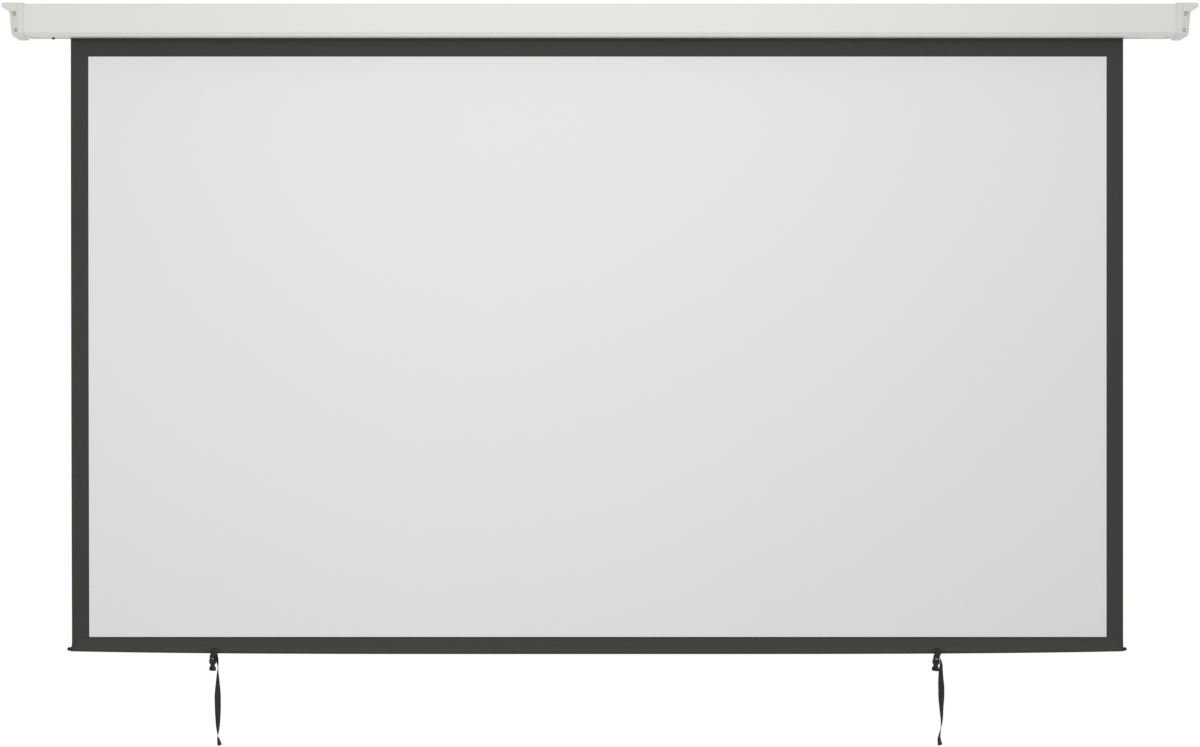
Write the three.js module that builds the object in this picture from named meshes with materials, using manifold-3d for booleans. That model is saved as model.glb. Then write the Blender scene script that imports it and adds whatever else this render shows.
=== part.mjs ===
// A motorized projector screen, with its fabric fully down, as it hangs on a wall.
// Millimetres. X runs along the casing, -Y is the front and Z is up.
// The origin is the centre of the casing's flat back, which lies on the wall plane.

import * as THREE from "three";
import { mergeVertices } from "three/addons/utils/BufferGeometryUtils.js";
import Module from "manifold-3d";

const wasm = await Module();
wasm.setup();

// Fits and cutting
const gap = 0.3; // between two pieces that touch
const turningGap = 0.4; // between a piece that turns and its seat
const overrun = 5; // how far a cutter passes the face that it opens
const weldDistance = 0.0001; // vertices closer than this are one

// Casing
const casingWall = 1.6;
const topCornerRadius = 3;
const frontChamfer = 8.5; // slanted band along the front's lower edge
const frontChamferRadius = 2.2;
const backLowerRadius = 5;
const casingMargin = 100.8; // how far each end cap's seam lies beyond the fabric's half width
const capOverlap = 8; // length of the casing held inside each cap
const slotWidth = 18;
const slotLipHeight = 6;

// End caps
const capProud = 2.5; // how far a cap's front stands before the casing's
const capTopStep = 2.3;
const capBottomStep = 3.4;
const capLength = 33; // from the seam to a cap's side, at its top
const capDraft = 7; // how much further in the side is at the bottom
const capCornerRadius = 13;
const capWall = 2.4;
const facetStart = 10.6; // from the seam to the slanted facet
const facetAngle = Math.PI / 6;
const facetWall = 3;
const tongueLength = 16; // lip under the casing that locates the cap
const tongueThickness = 2;
const tongueSetback = 8.5;
const tongueWidth = 34;

// Mounting ears on the end caps
const earLength = 14; // from the cap's side to the ear's tip
const earTipHeight = 9.6;
const earRootHeight = 18.6;
const earTipRadius = 4.2;
const earSetback = 2; // from the cap's front to the ear's front
const earWall = 3;
const earHoleRadius = 2.5;
const earRecessDepth = 0.6; // of the knock-out at the ear's front
const earPilotRadius = 0.9;
const earTopHoleShare = 0.45; // place of the ceiling hole along the ear's depth

// Cap screws, upper and lower
const screwHeadRadius = 3.7;
const screwHeadHeight = 2.3;
const screwShankRadius = 1.75;
const screwShankLength = 7.5;
const screwHoleRadius = 2.1;
const screwSeatRadius = 4.7;
const screwSeatDepth = 1.2;
const screwRecessLength = 4.2;
const screwRecessWidth = 0.9;
const screwRecessDepth = 1.1;
const screwCrownShare = 0.55; // of the head's height, where its crown begins
const screwCrownShapeShares = { shoulderRadius: 0.86, shoulderHeight: 0.85, topRadius: 0.6 };
const screwTipShare = 0.6; // of the shank's radius
const upperScrewDrop = 21.8; // from the casing's top
const lowerScrewRise = 13; // from the casing's underside
const upperScrewOffset = 20; // from the seam
const lowerScrewOffset = 17;

// Brackets inside the ends of the casing
const bracketInset = 4; // from the seam to the bracket's plate
const bracketThickness = 2;
const bracketCornerRadius = 2;
const bracketFlangeDrop = 15; // from the casing's top
const bracketFlangeRise = 9.5; // from the casing's underside
const bracketFlangeLength = 13.5;

// Roller and fabric winding
const fabricSetback = 16.76; // from the wall to the hanging fabric
const rollFrontRoom = 10.5; // from the bare roller to the casing's front, for the full roll
const rollHeadroom = 12.5; // from the bare roller to the casing's top and underside
const rollerRadius = 22.5;
const rollerWall = 1.2;
const rollerEndPlay = 0.8;
const keyMouth = 6;
const keyFloor = 4;
const keyDepth = 3;
const fabricThickness = 0.4;
const windPitch = 0.55;
const windTurns = 2.25;
const splineRadius = 1.2;

// Fabric
const viewWidth = 2214;
const viewHeight = 1263.5;
const sideBorder = 36.2;
const topBorder = 36.7; // black band seen between the casing and the white
const lowerBorder = 7.6; // black band between the white and the hem's seam
const fabricShift = -6.6; // the fabric's middle lies this far from the casing's

// Hem and weight bar
const hemThickness = 0.45;
const barRadius = 4.5;
const barWall = 0.8;
const barDrop = 18.7; // from the hem's seam to the bar's axis, at the ends
const barSag = 6; // how far the middle of the bar hangs lower
const barPlugRadius = 3.9;
const barPlugLength = 7.5;
const barPlugStem = 12;
const barPlugRound = 2.4; // how far in from its rim the plug's end is rounded
const barPlugRoundShare = 0.3; // of that, where the round's middle lies
const notchGap = 1.2; // between the webbing on the bar and its notch in the hem
const bellyWrap = (4 * Math.PI) / 3; // how far the hem follows the bar round

// Motor
const motorHeadRim = 0.5; // how far the head stands proud of the roller
const motorHeadLength = 22;
const motorClearance = 1.3; // between the motor and the roller's key
const motorLength = 440;
const motorBossRadius = 9;
const motorBossLength = 4;
const motorSpigot = 10;
const motorSpigotLength = 7;
const motorScrewShare = 0.61; // place of the motor's screws along its head's radius
const motorScrewHeadRadius = 3.6;
const motorScrewHeadHeight = 2.4;
const motorScrewShankRadius = 1.9;
const motorScrewLength = 9;
const crownLength = 22;
const crownFlange = 3;
const wheelLength = 15;
const wheelWindowShares = { radius: 0.18, offset: 0.58 }; // of the roller's radius
const shaftRadius = 4;
const shaftFlat = 1;
const shaftLength = 38;
const shaftSocket = 14; // length of the shaft inside the motor
const limitBlockWidth = 16;
const limitBlockLength = 19;
const limitBlockRise = 7.5; // from the casing's underside
const limitScrewRadius = 3;
const limitScrewProud = 1.2;
const limitScrewDepth = 6;
const limitScrewPitch = 9;
const limitSlotWidth = 0.9;
const limitSlotDepth = 0.8;

// Idler end
const idlerPlugLength = 30;
const idlerFlange = 3;
const idlerPinRadius = 4;
const idlerPinSocket = 26;
const idlerPinProud = 3;
const idlerPinChamfer = 0.8;
const bushWall = 2.4;
const bushFlange = 2.6;
const bushFlangeRim = 3;

// Cable gland under the motor end
const glandInset = 59; // from the seam
const glandSetback = 33.5; // from the wall
const glandFlangeRadius = 4.2;
const glandFlangeHeight = 1;
const glandNeckRadius = 2.9;
const glandNeckLength = 2.4;
const glandBoreRadius = 1.7;
const glandShankRadius = 3;
const glandNutHeight = 2.5;

// Straps
const webbingWidth = 13.5;
const webbingThickness = 1.2;
const sewnHemThickness = 2.8;
const sewnHemLength = 17;
const hookRise = 4.4; // how far the webbing's sewn end stands above the socket
const legDrop = 4.6; // below the bar's axis, where the webbing leaves the bar's front
const legForward = 1.9; // how far the webbing bulges there
const tailStep = 5; // spacing of the sections along a tail
const tailStart = 1; // below the bar's axis, where the free tail begins
const legTurnShare = 0.6; // of the buckle's turn that is left halfway up to the bar
const settleIndex = 4; // point of a tail's route where it has come under the bar

// Side-release buckles
const buckleWidth = 17;
const buckleTopWidth = 15.4;
const buckleThickness = 6.2;
const socketLength = 16.5;
const socketShoulder = 13; // from the top to the widest place
const socketBarHeight = 2.4;
const socketBarThickness = 3;
const socketSlotHeight = 3.4;
const socketCavityTop = 7.6;
const socketCavityThickness = 3.8;
const socketSideWall = 1.6;
const windowTop = 9.2;
const windowBottom = 14.2;
const plugLength = 31.4; // from the socket's top to the plug's foot, when closed
const plugFootHeight = 9.3;
const plugFootThickness = 5;
const plugFootRadius = 2;
const plugStemWidth = 11;
const plugStemThickness = 3.8;
const plugShoulderWidth = 13;
const plugShoulderHeight = 1.5;
const plugSlotHeight = 1.7;
const plugSlotLean = 22; // degrees
const plugBarHeight = 1.8;
const guideWidth = 3.6;
const guideTop = 8.4;
const prongThickness = 1.9;
const prongProud = 0.35; // how far a prong's shoulder stands out of its window

// The two straps, as they hang in the photograph, each at a share of the fabric's half width.
// A tail's route lists the offset along X, the drop below the bar and the turn in degrees.
const strapSpecs = [
  {
    side: "left",
    placeShare: -0.7273,
    buckleShift: -3,
    buckleTurn: -46,
    buckleLean: 0,
    buckleForward: 6,
    route: [
      [0, 4.4, -4],
      [1.3, 9, -24],
      [5.8, 20, -58],
      [8.3, 35, -90],
      [8.2, 48, -106],
      [7.6, 75, -143],
      [8, 101, -180],
      [8.9, 132, -218],
      [9.6, 165, -252],
      [10.2, 187, -270],
      [10.6, 204.5, -292],
    ],
  },
  {
    side: "right",
    placeShare: 0.6474,
    buckleShift: -3,
    buckleTurn: -52,
    buckleLean: 5,
    buckleForward: 6,
    route: [
      [0, 4.8, -6],
      [1.2, 8.4, -46],
      [5.4, 14.5, -94],
      [7.8, 28, -118],
      [7.4, 43, -136],
      [7.7, 60, -150],
      [8.2, 82, -180],
      [7.4, 118, -218],
      [5.8, 158, -256],
      [5.6, 182, -276],
      [6.4, 203.5, -318],
    ],
  },
];

// Places worked out from the sizes above
const fabricWidth = viewWidth + 2 * sideBorder;
const seamReach = fabricWidth / 2 + casingMargin;
const capReach = seamReach + capLength;
const earReach = capReach + earLength;
const upperScrewReach = seamReach + upperScrewOffset;
const lowerScrewReach = seamReach + lowerScrewOffset;
const bracketReach = seamReach - bracketInset;
const motorHeadEnd = bracketReach - gap - motorHeadLength;
const rollerMotorEnd = motorHeadEnd - gap - crownFlange - gap;
const rollerIdlerEnd = bracketReach - gap - bushFlange - rollerEndPlay - idlerFlange - gap;
const glandReach = seamReach - glandInset;
const casingEnd = seamReach + capOverlap;
const casingTop = rollerRadius + rollHeadroom;
const casingBottom = -casingTop;
const upperScrewHeight = casingTop - upperScrewDrop;
const lowerScrewHeight = casingBottom + lowerScrewRise;
const bracketFlangeTop = casingTop - bracketFlangeDrop;
const bracketFlangeBottom = casingBottom + bracketFlangeRise;
const limitBlockBottom = casingBottom + limitBlockRise;
const rollerBore = rollerRadius - rollerWall;
const motorRadius = rollerBore - keyDepth - motorClearance;
const motorHeadRadius = rollerRadius + motorHeadRim;
const motorScrewOffset = motorHeadRadius * motorScrewShare;
const wheelWindowRadius = rollerRadius * wheelWindowShares.radius;
const wheelWindowOffset = rollerRadius * wheelWindowShares.offset;
const windInnerRadius = rollerRadius + gap + fabricThickness / 2;
const windOuterRadius = windInnerRadius + windPitch * windTurns;
const fabricY = -fabricSetback;
const rollerY = fabricY - windOuterRadius;
const casingDepth = rollFrontRoom + rollerRadius - rollerY;
const slotFront = fabricY - slotWidth / 2;
const slotBack = fabricY + slotWidth / 2;
const capFront = -casingDepth - capProud;
const capTop = casingTop + capTopStep;
const capBottom = casingBottom - capBottomStep;
const facetReach = seamReach + facetStart;
const viewTop = casingBottom - topBorder;
const viewBottom = viewTop - viewHeight;
const hemSeam = viewBottom - lowerBorder;
const barEndHeight = hemSeam - barDrop;
const hemRadius = barRadius + gap + hemThickness;
const webbingRingRadius = barRadius + gap + webbingThickness / 2;
const motorEnd = motorHeadEnd - gap - motorLength;
const chamferGrowth = 2 - Math.SQRT2; // a 45 degree chamfer grows by this share of an offset
const facetAlong = new THREE.Vector2(Math.cos(facetAngle), Math.sin(facetAngle));
const facetOut = new THREE.Vector2(Math.sin(facetAngle), -Math.cos(facetAngle));
const straps = strapSpecs.map((spec) => ({
  ...spec,
  at: fabricShift + (spec.placeShare * fabricWidth) / 2,
}));

// Materials
function finish(color, roughness, metalness) {
  return new THREE.MeshStandardMaterial({ color, roughness, metalness });
}
const paintedMetal = finish(0xe4e6e1, 0.45, 0.2);
const whitePlastic = finish(0xdcddd8, 0.5, 0);
const zincSteel = finish(0xb9bcc0, 0.35, 0.9);
const nickelSteel = finish(0xc8c8c6, 0.25, 1);
const blackPlastic = finish(0x1d1d1e, 0.55, 0);
const greyPlastic = finish(0x8b8f94, 0.55, 0);
const whiteFabric = finish(0xf0f0ee, 0.85, 0);
const blackFabric = finish(0x3a3935, 0.85, 0);
const blackWebbing = finish(0x19191a, 0.9, 0);
const motorPaint = finish(0x3c4046, 0.5, 0.5);
const bronze = finish(0xa87a3f, 0.4, 0.9);
const redPlastic = finish(0xb3312a, 0.5, 0);
const yellowPlastic = finish(0xd8b32c, 0.5, 0);

// Turns a three.js geometry into a solid that can be cut and joined.
function solid(geometry) {
  const bare = geometry.clone();
  bare.deleteAttribute("normal");
  bare.deleteAttribute("uv");
  const welded = mergeVertices(bare, weldDistance);
  return new wasm.Manifold(
    new wasm.Mesh({
      numProp: 3,
      vertProperties: welded.attributes.position.array,
      triVerts: new Uint32Array(welded.index.array),
    }),
  );
}

function geometryOf(made) {
  const mesh = made.getMesh();
  const geometry = new THREE.BufferGeometry();
  geometry.setAttribute("position", new THREE.BufferAttribute(mesh.vertProperties, 3));
  geometry.setIndex(new THREE.BufferAttribute(mesh.triVerts, 1));
  geometry.computeVertexNormals();
  return geometry;
}

function join(first, ...others) {
  return geometryOf(others.reduce((made, other) => made.add(solid(other)), solid(first)));
}

function cut(body, ...tools) {
  return geometryOf(tools.reduce((made, tool) => made.subtract(solid(tool)), solid(body)));
}

function overlapOf(first, ...others) {
  return geometryOf(others.reduce((made, other) => made.intersect(solid(other)), solid(first)));
}

// Closed outline through corners given as [u, v, radius], each rounded by its radius.
function rounded(corners, arcSteps = 4) {
  const places = corners.map(([u, v]) => new THREE.Vector2(u, v));
  return corners.flatMap(([, , radius = 0], i) => {
    const here = places[i];
    if (radius === 0) return [here];
    const back = places.at(i - 1).clone().sub(here).normalize();
    const ahead = places[(i + 1) % places.length].clone().sub(here).normalize();
    const half = Math.acos(back.dot(ahead)) / 2;
    const middle = back.clone().add(ahead).normalize();
    const centre = here.clone().addScaledVector(middle, radius / Math.sin(half));
    const from = here.clone().addScaledVector(back, radius / Math.tan(half)).sub(centre);
    const turn = Math.sign(back.cross(ahead)) * (2 * half - Math.PI);
    return Array.from({ length: arcSteps + 1 }, (_, k) =>
      from.clone().rotateAround(new THREE.Vector2(), (turn * k) / arcSteps).add(centre),
    );
  });
}

function circle(radius, sides, centreU = 0, centreV = 0) {
  return Array.from({ length: sides }, (_, i) => {
    const angle = (2 * Math.PI * i) / sides;
    return new THREE.Vector2(centreU + radius * Math.cos(angle), centreV + radius * Math.sin(angle));
  });
}

function rectangle(left, right, bottom, top) {
  return [
    new THREE.Vector2(left, bottom),
    new THREE.Vector2(right, bottom),
    new THREE.Vector2(right, top),
    new THREE.Vector2(left, top),
  ];
}

function prism(outline, length, holes) {
  const shape = new THREE.Shape(outline);
  shape.holes = holes.map((hole) => new THREE.Path(hole));
  return new THREE.ExtrudeGeometry(shape, { depth: length, bevelEnabled: false });
}

// The outline is drawn in Y and Z, and runs along X.
function prismX(outline, from, to, holes = []) {
  const lay = new THREE.Matrix4().set(0, 0, 1, from, 1, 0, 0, 0, 0, 1, 0, 0, 0, 0, 0, 1);
  return prism(outline, to - from, holes).applyMatrix4(lay);
}

// The outline is drawn in X and Z, and runs along Y.
function prismY(outline, from, to, holes = []) {
  const lay = new THREE.Matrix4().set(1, 0, 0, 0, 0, 0, -1, to, 0, 1, 0, 0, 0, 0, 0, 1);
  return prism(outline, to - from, holes).applyMatrix4(lay);
}

// The outline is drawn in X and Y, and runs along Z.
function prismZ(outline, from, to, holes = []) {
  return prism(outline, to - from, holes).translate(0, 0, from);
}

function block(left, right, front, back, bottom, top) {
  return prismZ(rectangle(left, right, front, back), bottom, top);
}

// Turns a profile of [radius, height] points about Z. It closes on itself if it is off the axis.
function turned(profile, sides) {
  const points = profile.map(([radius, height]) => new THREE.Vector2(radius, height));
  if (THREE.ShapeUtils.isClockWise(points)) points.reverse();
  if (points.every((point) => point.x > 0)) points.push(points[0].clone());
  return new THREE.LatheGeometry(points, sides).rotateX(Math.PI / 2);
}

// The same about X, with each height a place along X.
function turnedX(profile, sides) {
  return turned(profile, sides).rotateY(Math.PI / 2);
}

// Skins a row of stations, each an outline and the matrix that places it. The outlines run
// counter-clockwise seen from ahead and hold equally many points.
function sweep(stations) {
  const count = stations[0].outline.length;
  const positions = stations.flatMap(({ outline, place }) =>
    outline.flatMap((point) => new THREE.Vector3(point.x, point.y, 0).applyMatrix4(place).toArray()),
  );
  const indices = [];
  for (let i = 0; i + 1 < stations.length; i++) {
    for (let j = 0; j < count; j++) {
      const here = i * count + j;
      const next = i * count + ((j + 1) % count);
      indices.push(here, next, next + count, here, next + count, here + count);
    }
  }
  const last = (stations.length - 1) * count;
  for (const [a, b, c] of THREE.ShapeUtils.triangulateShape(stations[0].outline, [])) {
    indices.push(a, c, b);
  }
  for (const [a, b, c] of THREE.ShapeUtils.triangulateShape(stations.at(-1).outline, [])) {
    indices.push(last + a, last + b, last + c);
  }
  const geometry = new THREE.BufferGeometry();
  geometry.setAttribute("position", new THREE.Float32BufferAttribute(positions, 3));
  geometry.setIndex(indices);
  return geometry;
}

// Sweeps a flat strip through stations of { at, across, thickness }.
function ribbon(stations, width) {
  return sweep(
    stations.map(({ at, across, thickness }, i) => {
      const before = stations[Math.max(i - 1, 0)].at;
      const after = stations[Math.min(i + 1, stations.length - 1)].at;
      const ahead = after.clone().sub(before).normalize();
      const side = across.clone().addScaledVector(ahead, -across.dot(ahead)).normalize();
      const face = ahead.clone().cross(side);
      return {
        outline: rectangle(-width / 2, width / 2, -thickness / 2, thickness / 2),
        place: new THREE.Matrix4().makeBasis(side, face, ahead).setPosition(at),
      };
    }),
  );
}

function piece(name, geometry, material) {
  const mesh = new THREE.Mesh(geometry, material);
  mesh.name = name;
  return mesh;
}

// Outline of the casing's outside, in Y and Z, grown by a clearance.
function casingOutline(clearance) {
  const low = casingBottom - clearance;
  const high = casingTop + clearance;
  const front = -casingDepth - clearance;
  const chamfer = frontChamfer + clearance * chamferGrowth;
  return rounded([
    [front, low + chamfer, frontChamferRadius + clearance],
    [front + chamfer, low, frontChamferRadius + clearance],
    [clearance, low, backLowerRadius + clearance],
    [clearance, high, topCornerRadius + clearance],
    [front, high, topCornerRadius + clearance],
  ]);
}

// The casing is one folded profile that is open along a slot, whose two edges turn up inside.
function casing() {
  const wall = casingWall;
  const lipTop = casingBottom + slotLipHeight;
  const floor = casingBottom + wall;
  const innerChamfer = frontChamfer - wall * chamferGrowth;
  const profile = rounded([
    [slotFront, lipTop],
    [slotFront - wall, lipTop],
    [slotFront - wall, floor],
    [-casingDepth + wall + innerChamfer, floor, frontChamferRadius],
    [-casingDepth + wall, floor + innerChamfer, frontChamferRadius],
    [-casingDepth + wall, casingTop - wall, topCornerRadius - wall],
    [-wall, casingTop - wall, topCornerRadius - wall],
    [-wall, floor, backLowerRadius - wall],
    [slotBack + wall, floor],
    [slotBack + wall, lipTop],
    [slotBack, lipTop],
    [slotBack, casingBottom, wall / 2],
    [0, casingBottom, backLowerRadius],
    [0, casingTop, topCornerRadius],
    [-casingDepth, casingTop, topCornerRadius],
    [-casingDepth, casingBottom + frontChamfer, frontChamferRadius],
    [-casingDepth + frontChamfer, casingBottom, frontChamferRadius],
    [slotFront, casingBottom, wall / 2],
  ]);
  const shell = prismX(profile, -casingEnd, casingEnd);
  const glandHole = turned(
    [
      [0, casingBottom - overrun],
      [glandShankRadius + gap, casingBottom - overrun],
      [glandShankRadius + gap, floor + gap],
      [0, floor + gap],
    ],
    16,
  ).translate(-glandReach, -glandSetback, 0);
  return piece("casing", cut(shell, glandHole), paintedMetal);
}

// A point on a cap's slanted facet, at a distance below its surface, in X and Y.
function onFacet(reach, depth) {
  const along = (reach - facetReach) / facetAlong.x;
  return new THREE.Vector2(facetReach, capFront)
    .addScaledVector(facetAlong, along)
    .addScaledVector(facetOut, -depth);
}

// Front view of a cap, in X and Z, inset by a wall. Its side leans in and its corner is round.
function capFrontOutline(inset) {
  const lowReach = capReach - capDraft;
  return rounded(
    [
      [seamReach - inset, capBottom + inset],
      [lowReach - inset, capBottom + inset, capCornerRadius - inset],
      [capReach - inset, capTop - inset],
      [seamReach - inset, capTop - inset],
    ],
    8,
  );
}

// Side view of a cap, in Y and Z.
function capSideOutline() {
  const chamfer = frontChamfer + capProud * chamferGrowth;
  return rounded(
    [
      [capFront, capBottom + chamfer, frontChamferRadius + capProud],
      [capFront + chamfer, capBottom, frontChamferRadius + capProud],
      [0, capBottom, capBottomStep],
      [0, capTop, topCornerRadius],
      [capFront, capTop, topCornerRadius + capProud],
    ],
    6,
  );
}

// The ear is a hollow wedge, open below. Its back has a wall hole, its front a knock-out with
// a pilot hole, and its top a hole.
function ear() {
  const front = capFront + earSetback;
  const innerReach = capReach - capWall;
  const outline = rounded([
    [innerReach, capTop - earRootHeight],
    [capReach - gap, capTop - earRootHeight, earTipRadius],
    [earReach, capTop - earTipHeight, earTipRadius],
    [earReach, capTop, earTipRadius],
    [innerReach, capTop],
  ]);
  const facetBlend = prismY(
    rectangle(facetReach, capReach, capTop - earRootHeight, capTop),
    front,
    onFacet(capReach, 0).y,
  );
  const hollow = block(
    capReach + gap,
    earReach - earWall,
    front + earWall,
    -earWall,
    capTop - earRootHeight - overrun,
    capTop - earWall,
  );
  const holeReach = (capReach + earReach - earWall) / 2;
  const holeHeight = capTop - earTipHeight;
  const hole = (radius, from, to) => prismY(circle(radius, 16, holeReach, holeHeight), from, to);
  const wallHole = hole(earHoleRadius, -earWall - gap, overrun);
  const knockOut = hole(earHoleRadius, front - overrun, front + earRecessDepth);
  const pilot = hole(earPilotRadius, front - overrun, front + earWall + gap);
  const topHole = turned(
    [
      [0, capTop - earWall - gap],
      [earHoleRadius, capTop - earWall - gap],
      [earHoleRadius, capTop + overrun],
      [0, capTop + overrun],
    ],
    16,
  ).translate(holeReach, front * earTopHoleShare, 0);
  const wedge = join(prismY(outline, front, 0), facetBlend);
  return cut(wedge, hollow, wallHole, knockOut, pilot, topHole);
}

// Turns and moves a shape drawn along Z so that it stands on the facet at a screw's place.
function standOnFacet(geometry, reach, height, depth) {
  const place = onFacet(reach, depth);
  return geometry
    .rotateX(Math.PI / 2)
    .rotateZ(facetAngle)
    .translate(place.x, place.y, height);
}

function rod(radius, from, to, sides = 16) {
  return turned(
    [
      [0, from],
      [radius, from],
      [radius, to],
      [0, to],
    ],
    sides,
  );
}

// Cutters for a screw's hole and for the round seat of its head.
function screwCutters(reach, height) {
  return [
    standOnFacet(rod(screwHoleRadius, -screwShankLength - overrun, overrun), reach, height, 0),
    standOnFacet(rod(screwSeatRadius, -screwSeatDepth, overrun), reach, height, 0),
  ];
}

// A cap is a moulded shell: a box with draft on its side, a slanted facet at the front, a
// round lower corner, an ear, and a tongue that slides under the casing.
function endCap(side) {
  const far = capReach + overrun;
  const facetEnd = onFacet(far, 0);
  const plan = [
    new THREE.Vector2(seamReach, capFront),
    new THREE.Vector2(facetReach, capFront),
    facetEnd,
    new THREE.Vector2(far, 0),
    new THREE.Vector2(seamReach, 0),
  ];
  const outside = overlapOf(
    prismX(capSideOutline(), seamReach, far),
    prismY(capFrontOutline(0), capFront, 0),
    prismZ(plan, capBottom, capTop),
  );
  const innerNear = onFacet(seamReach - overrun, facetWall);
  const innerFar = onFacet(far, facetWall);
  const backWall = casingEnd + gap;
  const innerPlan = [
    innerNear,
    innerFar,
    new THREE.Vector2(far, -capWall),
    new THREE.Vector2(backWall, -capWall),
    new THREE.Vector2(backWall, overrun),
    new THREE.Vector2(seamReach - overrun, overrun),
  ];
  const inside = overlapOf(
    prismX(casingOutline(gap), seamReach - overrun, far),
    prismY(capFrontOutline(capWall), capFront, overrun),
    prismZ(innerPlan, capBottom, capTop),
  );
  const socket = prismX(casingOutline(gap), seamReach - overrun, backWall);
  const tongue = block(
    seamReach - tongueLength,
    seamReach + capOverlap,
    -casingDepth + tongueSetback,
    -casingDepth + tongueSetback + tongueWidth,
    casingBottom - gap - tongueThickness,
    casingBottom - gap,
  );
  const shell = cut(join(outside, ear()), inside, socket);
  return piece(
    "end_cap_" + side,
    cut(
      join(shell, tongue),
      ...screwCutters(upperScrewReach, upperScrewHeight),
      ...screwCutters(lowerScrewReach, lowerScrewHeight),
    ),
    whitePlastic,
  );
}

// Cross recess at the top of a screw's head.
function crossRecess(headTop, length, width, depth) {
  const bottom = headTop - depth;
  return [
    block(-length / 2, length / 2, -width / 2, width / 2, bottom, headTop + overrun),
    block(-width / 2, width / 2, -length / 2, length / 2, bottom, headTop + overrun),
  ];
}

// A pan-head screw that stands on Z: the underside of its head is at zero.
function panScrew(headRadius, headHeight, shankRadius, shankLength) {
  const crown = headHeight * screwCrownShare;
  const { shoulderRadius, shoulderHeight, topRadius } = screwCrownShapeShares;
  const body = turned(
    [
      [0, -shankLength],
      [shankRadius * screwTipShare, -shankLength],
      [shankRadius, -shankLength + shankRadius],
      [shankRadius, 0],
      [headRadius, 0],
      [headRadius, crown],
      [headRadius * shoulderRadius, headHeight * shoulderHeight],
      [headRadius * topRadius, headHeight],
      [0, headHeight],
    ],
    16,
  );
  return cut(body, ...crossRecess(headHeight, screwRecessLength, screwRecessWidth, screwRecessDepth));
}

function capScrew(side, level, reach, height) {
  const screw = panScrew(screwHeadRadius, screwHeadHeight, screwShankRadius, screwShankLength);
  return piece(
    "cap_screw_" + side + "_" + level,
    standOnFacet(screw, reach, height, screwSeatDepth - gap),
    nickelSteel,
  );
}

// A folded plate across the casing's end. Its front flange runs into the cap and bends back
// along the facet, where the two cap screws hold it.
function bracketPlate(holes) {
  const room = casingWall + gap;
  const floor = casingBottom + slotLipHeight + gap;
  const relief = frontChamfer - room * chamferGrowth - (floor - casingBottom - room);
  const plate = prismX(
    rounded([
      [-casingDepth + room, floor + relief],
      [-casingDepth + room + relief, floor],
      [-room, floor, bracketCornerRadius],
      [-room, casingTop - room, bracketCornerRadius],
      [-casingDepth + room, casingTop - room, bracketCornerRadius],
    ]),
    bracketReach,
    bracketReach + bracketThickness,
    holes,
  );
  const frontFace = -casingDepth + room;
  const facetDepth = facetWall + gap;
  const start = onFacet(facetReach, facetDepth);
  const bend = start
    .clone()
    .addScaledVector(facetAlong, (frontFace - start.y) / facetAlong.y);
  const tip = bend.clone().addScaledVector(facetAlong, bracketFlangeLength);
  const inward = facetOut.clone().multiplyScalar(-bracketThickness);
  const innerBend = bracketThickness * Math.tan(facetAngle / 2);
  const flange = prismZ(
    [
      new THREE.Vector2(bracketReach, frontFace),
      bend,
      tip,
      tip.clone().add(inward),
      new THREE.Vector2(bend.x - innerBend, frontFace + bracketThickness),
      new THREE.Vector2(bracketReach, frontFace + bracketThickness),
    ],
    bracketFlangeBottom,
    bracketFlangeTop,
  );
  const pilot = (reach, height) =>
    standOnFacet(
      rod(screwShankRadius + gap, -screwShankLength - overrun, overrun),
      reach,
      height,
      0,
    );
  return cut(
    join(plate, flange),
    pilot(upperScrewReach, upperScrewHeight),
    pilot(lowerScrewReach, lowerScrewHeight),
  );
}

// Everything at one end that the two ends share. The left end is the right one mirrored.
function endGroup(side, mirror, bracket) {
  const group = new THREE.Group();
  group.scale.x = mirror;
  group.add(
    endCap(side),
    capScrew(side, "upper", upperScrewReach, upperScrewHeight),
    capScrew(side, "lower", lowerScrewReach, lowerScrewHeight),
    bracket,
  );
  return group;
}

function motorBracket() {
  const spigot = motorSpigot / 2 + gap;
  const squareHole = rectangle(rollerY - spigot, rollerY + spigot, -spigot, spigot);
  const screwHoles = [-1, 1].map((way) =>
    circle(motorScrewShankRadius + gap, 16, rollerY, way * motorScrewOffset),
  );
  return piece("motor_bracket", bracketPlate([squareHole, ...screwHoles]), zincSteel);
}

function idlerBracket() {
  const bore = circle(idlerPinRadius + turningGap + bushWall + gap, 24, rollerY, 0);
  return piece("idler_bracket", bracketPlate([bore]), zincSteel);
}

// Circle with a groove at its top whose floor lies at a smaller radius.
function keyedCircle(radius, mouth, floor, floorRadius, sides) {
  const start = Math.PI / 2 + Math.asin(mouth / 2 / radius);
  const turn = 2 * (Math.PI - Math.asin(mouth / 2 / radius));
  const rim = Array.from({ length: sides + 1 }, (_, i) => {
    const angle = start + (turn * i) / sides;
    return new THREE.Vector2(radius * Math.cos(angle), radius * Math.sin(angle));
  });
  return [...rim, new THREE.Vector2(floor / 2, floorRadius), new THREE.Vector2(-floor / 2, floorRadius)];
}

// Outline of a piece that fits inside the roller tube and takes the tube's key.
function insideRoller() {
  const spread = 2 * (rollerWall + gap);
  return keyedCircle(
    rollerBore - gap,
    keyMouth + spread,
    keyFloor + spread,
    rollerRadius - keyDepth - rollerWall - gap,
    28,
  );
}

function rollerTube() {
  const outer = keyedCircle(rollerRadius, keyMouth, keyFloor, rollerRadius - keyDepth, 32);
  const inner = keyedCircle(
    rollerBore,
    keyMouth + 2 * rollerWall,
    keyFloor + 2 * rollerWall,
    rollerBore - keyDepth,
    32,
  );
  const tube = prismX(outer, -rollerMotorEnd, rollerIdlerEnd, [inner]);
  return piece("roller_tube", tube, zincSteel);
}

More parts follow.
